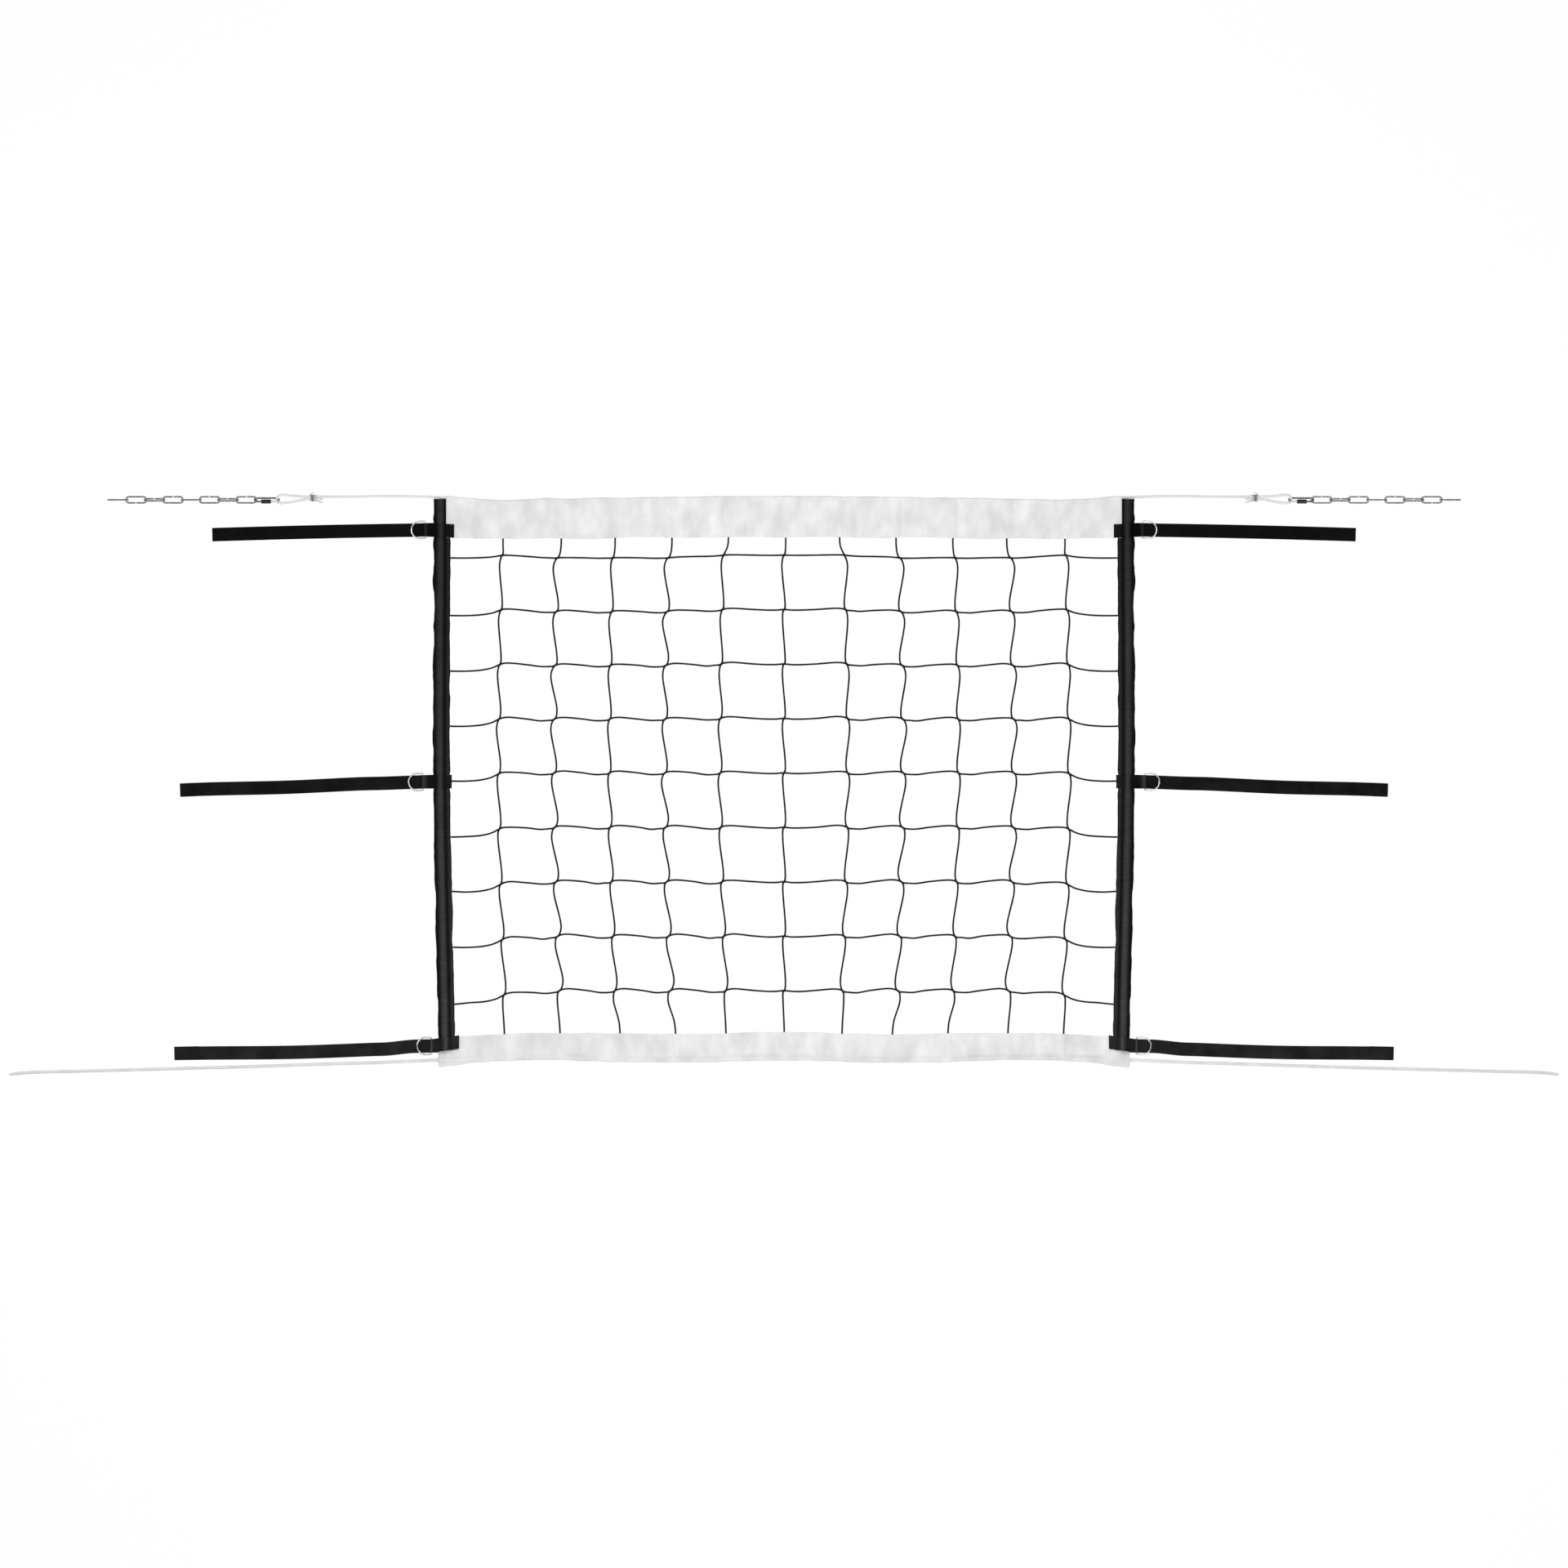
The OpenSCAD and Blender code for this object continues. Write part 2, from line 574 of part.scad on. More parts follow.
module at_quick() {
    translate([quick_x, loop_at.y, loop_at.z]) rotate([-quick_roll, 0, 0]) children();
}

module half_bow(r, wire, leg) {
    translate([leg / 2, 0, 0]) rotate(-90)
        rotate_extrude(angle = 180, $fn = 64) translate([r, 0]) circle(d = wire, $fn = 32);
}

module wire_leg(wire, l) {
    rotate([0, 90, 0]) cylinder(h = l, d = wire, center = true, $fn = 32);
}

// The quick link's mouth is in the leg that carries the nut, and closed by it. Places along the leg.
nut_back = 0.18 * quick_leg;
nut_grip = 2;
nut_rest = nut_back + (nut_l - quick_leg) / 2;
mouth_from = nut_back + nut_grip - quick_leg / 2;
mouth_to = mouth_from + quick_mouth;

module quick_link() {
    left_stub = mouth_from + quick_leg / 2;
    right_stub = quick_leg / 2 - mouth_to;
    color(STEEL) at_quick() {
        half_bow(quick_r, quick_wire, quick_leg);
        mirror([1, 0, 0]) half_bow(quick_r, quick_wire, quick_leg);
        translate([0, quick_r, 0]) wire_leg(quick_wire, quick_leg);
        translate([(left_stub - quick_leg) / 2, -quick_r, 0]) wire_leg(quick_wire, left_stub);
        translate([(quick_leg - right_stub) / 2, -quick_r, 0]) wire_leg(quick_wire, right_stub);
    }
}

module quick_link_nut() {
    color(STEEL) at_quick() translate([nut_rest, -quick_r, 0]) rotate([0, 90, 0]) difference() {
        cylinder(h = nut_l, d = nut_af / cos(30), center = true, $fn = 6);
        cylinder(h = nut_l + 2, d = quick_wire + 2 * thread_play, center = true, $fn = 32);
    }
}

// Odd links lie flat, even links stand on edge, and every fourth one from the second is rolled
function link_turn(n) = n % 2 == 1 ? 0 : n % 4 == 2 ? 90 - link_roll : 90;

module chain_link(n) {
    color(STEEL) translate([first_x - (n - 1) * link_pitch, loop_at.y, loop_at.z])
        rotate([link_turn(n), 0, 0]) {
            half_bow(link_r, link_wire, link_leg);
            mirror([1, 0, 0]) half_bow(link_r, link_wire, link_leg);
            for (s = [-1, 1]) translate([0, s * link_r, 0]) wire_leg(link_wire, link_leg);
        }
}

netting();
top_tape();
bottom_tape();
top_rope();
bottom_rope();
for (s = [0, 1]) mirror([s, 0, 0]) {
    side_sleeve();
    dowel();
    top_rope_tail();
    top_rope_seizing();
    bottom_rope_tail();
    quick_link();
    quick_link_nut();
    for (k = [0:2]) {
        tab(k);
        ring(k);
        strap(k);
    }
    for (n = [1:links]) {
        chain_link(n);
    }
}
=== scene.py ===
"""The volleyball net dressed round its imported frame: X along the net, Y up it, Z up from the ground."""

import math

import bmesh
import bpy
import numpy as np
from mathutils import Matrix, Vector


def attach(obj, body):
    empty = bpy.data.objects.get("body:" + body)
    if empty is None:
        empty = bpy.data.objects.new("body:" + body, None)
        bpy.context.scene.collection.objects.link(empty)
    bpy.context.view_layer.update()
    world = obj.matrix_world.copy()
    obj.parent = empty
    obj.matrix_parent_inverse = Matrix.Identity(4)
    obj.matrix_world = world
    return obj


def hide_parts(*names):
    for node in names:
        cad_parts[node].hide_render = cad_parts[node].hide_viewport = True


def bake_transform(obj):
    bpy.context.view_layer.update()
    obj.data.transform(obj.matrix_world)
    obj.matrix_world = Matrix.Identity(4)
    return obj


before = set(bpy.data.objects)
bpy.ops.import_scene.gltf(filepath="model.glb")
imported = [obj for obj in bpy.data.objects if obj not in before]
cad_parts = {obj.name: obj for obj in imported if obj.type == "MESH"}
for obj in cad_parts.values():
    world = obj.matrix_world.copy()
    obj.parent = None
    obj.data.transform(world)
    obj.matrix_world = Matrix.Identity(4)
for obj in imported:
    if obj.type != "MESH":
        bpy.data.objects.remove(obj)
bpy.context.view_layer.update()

MM = 0.001
SIDES = {"left": 1, "right": -1}
TABS = ["upper", "middle", "lower"]

# ---------------------------------------------------------------- camera

PHOTO_MM_PER_PX = 1.5
PHOTO_WIDTH_PX = 1920
PHOTO_MIDDLE_Y = -9.2
CAMERA_Z = 4
camera_data = bpy.data.cameras.new("camera")
camera_data.type = "ORTHO"
camera_data.ortho_scale = PHOTO_MM_PER_PX * PHOTO_WIDTH_PX * MM
camera = bpy.data.objects.new("camera", camera_data)
camera.location = (0, PHOTO_MIDDLE_Y * MM, CAMERA_Z)
bpy.context.scene.collection.objects.link(camera)
bpy.context.scene.camera = camera
bpy.context.scene.view_settings.view_transform = "Standard"

# ---------------------------------------------------------------- curves and meshes, in millimetres


def unit(v):
    return v / np.maximum(np.linalg.norm(v, axis=-1, keepdims=True), 1e-12)


def arc(points):
    """Distance along a line at each of its points."""
    return np.concatenate([[0], np.cumsum(np.linalg.norm(np.diff(points, axis=0), axis=1))])


def spaced(points, step):
    """The same line with its points a step apart."""
    s = arc(points)
    n = max(2, int(round(s[-1] / step)) + 1)
    at = np.linspace(0, s[-1], n)
    return np.column_stack([np.interp(at, s, points[:, k]) for k in range(3)])


def smooth(points, step):
    """A centripetal Catmull-Rom curve through the points, sampled a step apart."""
    p = np.asarray(points, float)
    p = np.vstack([2 * p[0] - p[1], p, 2 * p[-1] - p[-2]])
    out = []
    for a, b, c, d in zip(p, p[1:], p[2:], p[3:]):
        t0, t1 = 0.0, np.linalg.norm(b - a) ** 0.5
        t2 = t1 + np.linalg.norm(c - b) ** 0.5
        t3 = t2 + np.linalg.norm(d - c) ** 0.5
        t = np.linspace(t1, t2, max(3, int(np.linalg.norm(c - b) / step * 2) + 2))[:-1, None]
        e = (t1 - t) / (t1 - t0) * a + (t - t0) / (t1 - t0) * b
        f = (t2 - t) / (t2 - t1) * b + (t - t1) / (t2 - t1) * c
        g = (t3 - t) / (t3 - t2) * c + (t - t2) / (t3 - t2) * d
        h = (t2 - t) / (t2 - t0) * e + (t - t0) / (t2 - t0) * f
        i = (t3 - t) / (t3 - t1) * f + (t - t1) / (t3 - t1) * g
        out.append((t2 - t) / (t2 - t1) * h + (t - t1) / (t2 - t1) * i)
    out.append(p[-2][None])
    return spaced(np.vstack(out), step)


def bend(x, y, r, degrees):
    """Points on a circle about a centre, at angles in degrees."""
    a = np.radians(degrees)
    return np.column_stack([x + r * np.cos(a), y + r * np.sin(a)])


def side_directions(p, up):
    """Two cross directions that don't twist along a line."""
    t = unit(np.gradient(p, axis=0))
    u = np.empty_like(p)
    last = np.array(up, float)
    for i in range(len(p)):
        last = last - (last @ t[i]) * t[i]
        last = last / max(np.linalg.norm(last), 1e-9)
        u[i] = last
    return u, np.cross(t, u)


class Build:
    """Rings of points gathered into one mesh, with a coordinate along (u) and round (w) in millimetres."""

    def __init__(self):
        self.points, self.faces, self.uv, self.n = [], [], [], 0

    def grid(self, p, u, w, capped=False):
        """Adds rings that are joined one to the next, and flat ends where capped."""
        rows, cols = p.shape[:2]
        i, j = np.meshgrid(np.arange(rows - 1), np.arange(cols), indexing="ij")
        k = (j + 1) % cols
        quads = np.stack([i * cols + j, i * cols + k, (i + 1) * cols + k, (i + 1) * cols + j], -1)
        self.faces += (quads.reshape(-1, 4) + self.n).tolist()
        corner = [(i, j), (i, j + 1), (i + 1, j + 1), (i + 1, j)]
        self.uv.append(np.stack([np.stack([u[a], w[b]], -1) for a, b in corner], 2).reshape(-1, 2))
        for row, order in ((0, -1), (rows - 1, 1)) if capped else ():
            self.faces.append((np.arange(cols) + row * cols + self.n).tolist()[::order])
            self.uv.append(np.tile([u[row], w[0]], (cols, 1)))
        self.points.append(p.reshape(-1, 3))
        self.n += rows * cols
        return self

    def object(self, name, mat):
        mesh = bpy.data.meshes.new(name)
        mesh.from_pydata((np.vstack(self.points) * MM).tolist(), [], self.faces)
        layer = mesh.uv_layers.new(name="lay")
        layer.data.foreach_set("uv", np.vstack(self.uv).astype(np.float32).ravel())
        mesh.polygons.foreach_set("use_smooth", [True] * len(mesh.polygons))
        mesh.materials.append(mat)
        mesh.validate()
        mesh.update()
        piece = bpy.data.objects.new(name, mesh)
        bpy.context.scene.collection.objects.link(piece)
        return piece


def outward(piece):
    """Turns the faces of a closed mesh to face out."""
    b = bmesh.new()
    b.from_mesh(piece.data)
    bmesh.ops.recalc_face_normals(b, faces=b.faces)
    b.to_mesh(piece.data)
    b.free()
    return piece


def tube(build, p, radius, sides, up=(0, 0, 1), closed=False):
    """A round piece along a line; radius is a number, one for each point, or points by sides."""
    u, v = side_directions(p, up)
    a = np.linspace(0, 2 * math.pi, sides, endpoint=False)
    radius = np.asarray(radius, float)
    r = np.broadcast_to(radius[:, None] if radius.ndim == 1 else radius, (len(p), sides))
    ring = u[:, None] * np.cos(a)[None, :, None] + v[:, None] * np.sin(a)[None, :, None]
    grid = p[:, None] + ring * r[..., None]
    s = arc(p)
    if closed:
        grid = np.concatenate([grid, grid[:1]])
        s = np.append(s, s[-1] + np.linalg.norm(p[0] - p[-1]))
    return build.grid(grid, s, np.linspace(0, 1, sides + 1), capped=not closed)


def round_ends(s, r, bevel):
    """Radius along a line of length s[-1] that rounds over at both ends."""
    d = np.minimum(s, s[-1] - s)
    x = np.clip(1 - d / bevel, 0, 1)
    return r * np.sqrt(np.maximum(1 - 0.85 * x**2, 0.02))


def braid(s, sides, r, strands, pitch, depth):
    """Radius of a diamond braid: raised plaits in a lattice round and along the rope."""
    a = np.linspace(0, 2 * math.pi, sides, endpoint=False)[None]
    q = math.pi * s[:, None] / pitch
    bump = np.cos(strands / 2 * a + q) * np.cos(strands / 2 * a - q)
    return r + depth * (bump - 0.35)


def ribbon(p, lateral, width, thick, across=14):
    """Webbing along a line, with its woven edges rounded."""
    t = unit(np.gradient(p, axis=0))
    lateral = np.broadcast_to(np.asarray(lateral, float), p.shape)[:, None]
    normal = unit(np.cross(t, lateral[:, 0]))[:, None]
    a = -np.cos(np.linspace(0, math.pi, across))
    h = thick / 2 * np.sqrt(np.maximum(1 - np.abs(a) ** 9, 0.05))
    top = p[:, None] + lateral * (a * width / 2)[None, :, None] - normal * h[None, :, None]
    low = p[:, None] + lateral * (a[::-1] * width / 2)[None, :, None] + normal * h[None, ::-1, None]
    w = np.concatenate([(a + 1) * width / 2, (a[::-1] + 1) * width / 2, [0]])
    return Build().grid(np.concatenate([top, low], axis=1), arc(p), w, capped=True)


STITCH_RISE = np.array([-0.45, 0.1, 0.25, 0.1, -0.45])
STITCH_TAPER = np.array([0.5, 0.95, 1, 0.95, 0.5])


def stitches(build, line, step, length, r):
    """Stitches along a line on top of cloth: short threads that dip into it at both ends."""
    line = np.asarray(line, float)
    s = arc(line)
    for at in np.arange(step / 2, s[-1] - step / 2, step):
        x = np.linspace(at - length / 2, at + length / 2, len(STITCH_RISE))
        p = np.column_stack([np.interp(x, s, line[:, k]) for k in range(3)])
        p[:, 2] += STITCH_RISE * 2 * r
        tube(build, p, STITCH_TAPER * r, 6, up=(0.01, 0.02, 1))


def mirrored(p, s):
    """Points of the left side, or of the right one where s is -1."""
    return np.asarray(p, float) * [s, 1, 1]


def place(piece, body, slot, *nodes):
    if nodes:
        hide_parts(*nodes)
    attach(piece, body)
    return piece


# ---------------------------------------------------------------- materials


class Tree:
    """A node tree with short calls for the nodes that it needs."""

    def __init__(self, tree):
        self.tree = tree

    def put(self, socket, value):
        if hasattr(value, "is_output"):
            self.tree.links.new(value, socket)
        else:
            socket.default_value = value

    def node(self, kind, *values):
        """A node whose first sockets get the values."""
        n = self.tree.nodes.new("ShaderNode" + kind)
        for socket, value in zip(n.inputs, values):
            self.put(socket, value)
        return n

    def math(self, op, a, b=0.0, c=0.0):
        n = self.node("Math", a, b, c)
        n.operation = op
        return n.outputs[0]

    def range(self, value, low, high):
        n = self.node("MapRange", value)
        n.inputs["To Min"].default_value = low
        n.inputs["To Max"].default_value = high
        return n.outputs[0]


class Nodes(Tree):
    """A material round its own Principled shader."""

    def __init__(self, name, colour, rough, metal=0.0, specular=0.5):
        self.material = bpy.data.materials.new(name)
        self.material.use_nodes = True
        super().__init__(self.material.node_tree)
        self.shader = self.tree.nodes["Principled BSDF"]
        self.shader.inputs["Base Color"].default_value = (*colour, 1)
        self.shader.inputs["Roughness"].default_value = rough
        self.shader.inputs["Metallic"].default_value = metal
        self.shader.inputs["Specular IOR Level"].default_value = specular

    def place(self):
        return self.node("TexCoord").outputs["Object"]

    def lay(self):
        """Distance along and across the piece, in millimetres."""
        n = self.node("UVMap")
        n.uv_map = "lay"
        return self.node("SeparateXYZ", n.outputs[0]).outputs[:2]

    def noise(self, scale, detail=3.0, rough=0.55, stretch=None):
        n = self.node("TexNoise")
        n.inputs["Scale"].default_value = scale
        n.inputs["Detail"].default_value = detail
        n.inputs["Roughness"].default_value = rough
        at = self.place()
        if stretch:
            m = self.node("Mapping", at)
            m.inputs["Scale"].default_value = stretch
            at = m.outputs[0]
        self.put(n.inputs["Vector"], at)
        return n.outputs["Fac"]

    def ramp(self, value, stops):
        n = self.node("ValToRGB", value)
        e = n.color_ramp.elements
        while len(e) < len(stops):
            e.new(0.5)
        for k, (at, colour) in enumerate(stops):
            e[k].position = at
            e[k].color = (*colour, 1) if hasattr(colour, "__len__") else (colour, colour, colour, 1)
        return n.outputs[0]

    def bump(self, height, distance, strength=1.0):
        n = self.node("Bump", strength, distance)
        self.put(n.inputs["Height"], height)
        old = self.shader.inputs["Normal"]
        if old.is_linked:
            self.put(n.inputs["Normal"], old.links[0].from_socket)
        self.put(old, n.outputs[0])

    def colour(self, value):
        self.put(self.shader.inputs["Base Color"], value)

    def rough(self, value):
        self.put(self.shader.inputs["Roughness"], value)

    def tint(self, value, colour):
        return self.node("CombineXYZ", *(self.math("MULTIPLY", value, part) for part in colour)).outputs[0]

    def paler_to_foot(self, shade, per_metre):
        """A shade that pales steadily from the top of the net to its foot."""
        y = self.node("SeparateXYZ", self.place()).outputs[1]
        return self.math("MULTIPLY", shade, self.math("POWER", math.exp(-per_metre), y))

    def pale_line(self, value, middle, half_width, grey):
        """A soft pale line across a piece where its value is near the middle one."""
        off = self.math("DIVIDE", self.math("SUBTRACT", value, middle), half_width)
        return self.math("MULTIPLY", grey, self.math("POWER", math.exp(-1), self.math("MULTIPLY", off, off)))

    def sine(self, value, period, phase=0.0):
        return self.math("SINE", self.math("MULTIPLY_ADD", value, 2 * math.pi / period, phase))

    def checks(self, a, b, period_a, period_b):
        """The product of two sines, high and low by turns both ways."""
        return self.math("MULTIPLY", self.sine(a, period_a), self.sine(b, period_b))


# Painted light on the sleeve's cloth by the distance round it from the left of its ridge, in millimetres: a
# painted highlight over the dowel and on the flange, painted shade on the left flank and in the seam groove
SLEEVE_ROUND = 78.4
SLEEVE_PAINTED_LIGHT = [
    (0, 0.009), (2.5, 0.023), (5, 0.037), (7.5, 0.047), (10.5, 0.050), (12.7, 0.044), (14.5, 0.036),
    (17.5, 0.023), (20.6, 0.013), (24.8, 0.009), (26.4, 0.022), (28.3, 0.030), (31.2, 0.031), (33, 0.024),
    (36, 0.012), (62, 0.004), (76.5, 0.004),
]


def cord_material():
    m = Nodes("net_cord_black", (0.006, 0.006, 0.007), 0.62, specular=0.22)
    along, round_it = m.lay()
    lays = [m.math("MULTIPLY", along, turn) for turn in (1.9, -1.9)]
    lays = [m.math("SINE", m.math("MULTIPLY_ADD", round_it, 8 * math.pi, lay)) for lay in lays]
    plait = m.math("MULTIPLY", *lays)
    fibre = m.noise(1400, 2)
    dark, light = (0.2, (0.003, 0.003, 0.0035)), (0.9, (0.016, 0.016, 0.017))
    m.colour(m.ramp(m.math("MULTIPLY_ADD", plait, 0.25, fibre), [dark, light]))
    m.rough(m.range(fibre, 0.5, 0.78))
    m.bump(plait, 0.0003)
    m.bump(fibre, 0.0001, 0.6)
    return m.material


def webbing_material(name, specular=0.08, pale_lines=()):
    """Black webbing with its weave, and pale lines across it at (distance, half width, grey), which give the
    tabs painted highlights and a paler foot.
    """
    m = Nodes(name, (0.006, 0.006, 0.006), 0.6, specular=specular)
    along, across = m.lay()
    fold = m.math("PINGPONG", across, 3.1)
    rib = m.sine(m.math("MULTIPLY_ADD", fold, 0.9, along), 1.5)
    warp = m.sine(across, 0.9)
    weave = m.math("MULTIPLY_ADD", warp, 0.45, rib)
    worn = m.noise(26, 4)
    shade = m.ramp(m.math("MULTIPLY_ADD", weave, 0.16, worn), [(0.25, 0.003), (0.85, 0.0165)])
    shade = m.paler_to_foot(shade, 1.6)
    for middle, half_width, grey in pale_lines:
        pale = m.paler_to_foot(m.pale_line(along, middle, half_width, grey), 0.6)
        shade = m.math("ADD", shade, m.math("MULTIPLY", pale, m.math("MULTIPLY_ADD", weave, 0.1, 0.9)))
    m.colour(m.tint(shade, (1.0, 1.0, 1.02)))
    m.rough(m.range(worn, 0.48, 0.74))
    m.bump(weave, 0.00022)
    m.bump(m.noise(900, 2), 0.0001, 0.5)
    return m.material


def sleeve_material():
    """Black cloth with a painted highlight on the ridge over the dowel and on the flange, and painted shade
    on its left flank and in its seam groove.
    """
    m = Nodes("sleeve_cloth_black", (0.008, 0.008, 0.009), 0.6, specular=0.03)
    along, across = m.lay()
    weave = m.checks(along, across, 0.9, 0.9)
    pucker = m.noise(60, 3, stretch=(1.0, 0.45, 1.0))
    crease = m.noise(300, 3, 0.6, stretch=(0.12, 1.0, 0.12))
    worn = m.noise(18, 4)
    # Random wear, with the creases' raised lines painted paler: a painted highlight on them
    wear_and_crease_light = m.math("MULTIPLY_ADD", crease, 0.9, m.math("MULTIPLY_ADD", worn, 0.7, 0.2))
    painted_light_stops = [(at / SLEEVE_ROUND, grey) for at, grey in SLEEVE_PAINTED_LIGHT]
    ridge = m.ramp(m.math("DIVIDE", across, SLEEVE_ROUND), painted_light_stops)
    shade = m.math("MULTIPLY", ridge, m.math("MULTIPLY_ADD", weave, 0.06, wear_and_crease_light))
    m.colour(m.tint(m.paler_to_foot(shade, 0.6), (1.0, 1.0, 1.03)))
    m.rough(m.range(worn, 0.5, 0.68))
    m.bump(pucker, 0.0012, 0.5)
    m.bump(crease, 0.0007, 0.6)
    m.bump(weave, 0.00016)
    return m.material


def tape_material():
    m = Nodes("tape_coated_white", (0.84, 0.84, 0.85), 0.5, specular=0.3)
    # Soft patches of painted shade and light that stand in for the shading of the tape's wrinkles
    wrinkle_shade = m.noise(33, 3, 0.5, stretch=(1.0, 0.55, 1.0))
    grey, middle, white = (0.752, 0.752, 0.755), (0.842, 0.842, 0.844), (0.93, 0.93, 0.93)
    m.colour(m.ramp(wrinkle_shade, [(0.32, grey), (0.5, middle), (0.68, white)]))
    m.rough(m.range(m.noise(60, 3), 0.4, 0.62))
    m.bump(m.noise(38, 3, stretch=(1.0, 0.5, 1.0)), 0.0015, 0.5)
    m.bump(m.checks(*m.lay(), 0.8, 0.8), 0.00005)
    return m.material


def rope_material():
    m = Nodes("rope_white", (0.83, 0.83, 0.82), 0.7, specular=0.2)
    fibre = m.noise(1100, 3, stretch=(1.0, 0.4, 1.0))
    soil = m.noise(30, 4)
    soiled, clean = (0.35, (0.74, 0.74, 0.735)), (0.95, (0.92, 0.92, 0.912))
    m.colour(m.ramp(m.math("MULTIPLY_ADD", fibre, 0.35, soil), [soiled, clean]))
    m.rough(m.range(fibre, 0.6, 0.85))
    m.bump(fibre, 0.0002, 0.6)
    return m.material


def metal_material(name, colour, dull, rough, scratch, glint_to=0.0):
    """Plated metal, dull in blotches; the last argument is how far along it a painted highlight runs."""
    m = Nodes(name, colour, rough, metal=1.0)
    blotch = m.noise(120, 4, 0.6)
    low = tuple(c * dull for c in colour)
    tarnish_and_glint = m.ramp(blotch, [(0.32, low), (0.68, colour)])
    if glint_to:
        # A painted highlight on the wire from its start, over the given distance
        new = m.ramp(m.math("DIVIDE", m.lay()[0], 2 * glint_to), [(0.45, 1.0), (0.6, 0.0)])
        tarnish_and_glint = m.tint(m.math("MULTIPLY_ADD", new, 0.55, tarnish_and_glint), (1.0, 1.0, 1.0))
    m.colour(tarnish_and_glint)
    m.rough(m.range(m.noise(420, 3), rough * 0.75, rough * 1.4))
    m.bump(m.noise(scratch, 2), 0.00012, 0.35)
    return m.material


def wood_material():
    m = Nodes("dowel_wood", (0.5, 0.34, 0.18), 0.6)
    grain = m.noise(90, 5, 0.6, stretch=(1.0, 0.06, 1.0))
    m.colour(m.ramp(grain, [(0.3, (0.36, 0.23, 0.11)), (0.7, (0.6, 0.43, 0.25))]))
    m.bump(grain, 0.0004, 0.5)
    return m.material


def thread_material(name, colour):
    m = Nodes(name, colour, 0.5, specular=0.3)
    twist = m.noise(1600, 2)
    m.colour(m.ramp(twist, [(0.3, tuple(0.75 * c for c in colour)), (0.7, colour)]))
    m.bump(twist, 0.0001, 0.6)
    return m.material


# Where along the twine its painted shade is darkest, and how far that shade reaches, in millimetres
TWINE_SHADE_AT, TWINE_SHADE_FOR = 106, 46


def twine_material():
    """Grey twine with painted shade over a length near one end, on its turns at the knot's left."""
    m = Nodes("twine_grey", (0.3, 0.3, 0.3), 0.6, specular=0.2)
    fleck = m.noise(700, 3)
    off = m.math("ABSOLUTE", m.math("SUBTRACT", m.lay()[0], TWINE_SHADE_AT))
    unshaded = m.math("MULTIPLY_ADD", fleck, 0.5, m.math("DIVIDE", off, TWINE_SHADE_FOR))
    m.colour(m.ramp(unshaded, [(0.45, (0.10, 0.10, 0.10)), (1.0, (0.62, 0.62, 0.61))]))
    m.rough(m.range(fleck, 0.5, 0.75))
    m.bump(fleck, 0.0003, 0.6)
    return m.material


CORD, SLEEVE, TAPE, ROPE = cord_material(), sleeve_material(), tape_material(), rope_material()
WEBBING = webbing_material("webbing_black")
TWINE = twine_material()
NICKEL = metal_material("ring_nickel", (0.80, 0.79, 0.77), 0.75, 0.2, 260)
ZINC = metal_material("chain_zinc", (0.34, 0.345, 0.35), 0.5, 0.32, 320)
# The quick link's wire gets a painted highlight on its leg right of the mouth and into its bow
STEEL = metal_material("quick_link_steel", (0.25, 0.25, 0.255), 0.55, 0.34, 320, glint_to=22.0)
DARK_STEEL = metal_material("nut_dark_steel", (0.075, 0.075, 0.078), 0.5, 0.4, 400)
WOOD = wood_material()
WHITE_THREAD = thread_material("thread_white", (0.86, 0.86, 0.86))
BLACK_THREAD = thread_material("thread_black", (0.012, 0.012, 0.013))

# ---------------------------------------------------------------- free ropes

HEAD_ROPE_D, FOOT_ROPE_D = 4.5, 5.5
HEAD_EXIT = np.array([-620.737, 517.0, 3.0])
FOOT_EXIT = np.array([-634.843, -516.5, 3.5])
CHAIN_Z = 7.435
STRAND = HEAD_ROPE_D / 2 + 0.05
SEIZING_D, SEIZING_TURNS, SEIZING_X, SEIZING_Y = 2.0, 5, -237.5, -0.9
SEIZING_R = (HEAD_ROPE_D + SEIZING_D) / 2 + 0.05
SEIZING_Z = SEIZING_R + SEIZING_D / 2 + 0.1 - HEAD_EXIT[2]
SEIZING_STEP = 1.35 * SEIZING_D
LOOP_END = np.array([-311, -4.25, CHAIN_Z - HEAD_EXIT[2]])
HEAD_ROUTE = [
    [0, 0, 0], [-8, 0, 0], [-50, 1.6, -0.5], [-110, 2.4, -0.5], [-160, 1.5, -0.5], [-205, 1.3, 0.2],
    [-230, SEIZING_Y + STRAND, SEIZING_Z], [-256, SEIZING_Y + STRAND, SEIZING_Z],
    [-265, 1.7, 2.6], [-278, 2.6, 4.6], [-291, 4, 6.8], [-301, 4.9, 8],
    [-308, 2.6, 7.7],
    LOOP_END.tolist(),
    [-308, -9.4, 1.4], [-301, -10.3, 0.4], [-291, -9.4, 0], [-278, -7.4, 0.4], [-265, -4.8, 1],
    [-256, SEIZING_Y - STRAND, SEIZING_Z], [-230, SEIZING_Y - STRAND, SEIZING_Z],
    [-226, SEIZING_Y - STRAND - 0.3, SEIZING_Z - 0.6],
]
FOOT_ROUTE = [
    [0, 0, 0], [-10, 0, 0], [-40, -1.2, -0.5], [-130, -5, -0.5], [-205, -7, -0.5], [-355, -12, -0.5],
    [-505, -16, -0.5], [-655, -20, -0.5], [-760, -23, -0.5], [-782, -25.5, -0.5], [-788, -26.5, -0.5],
]


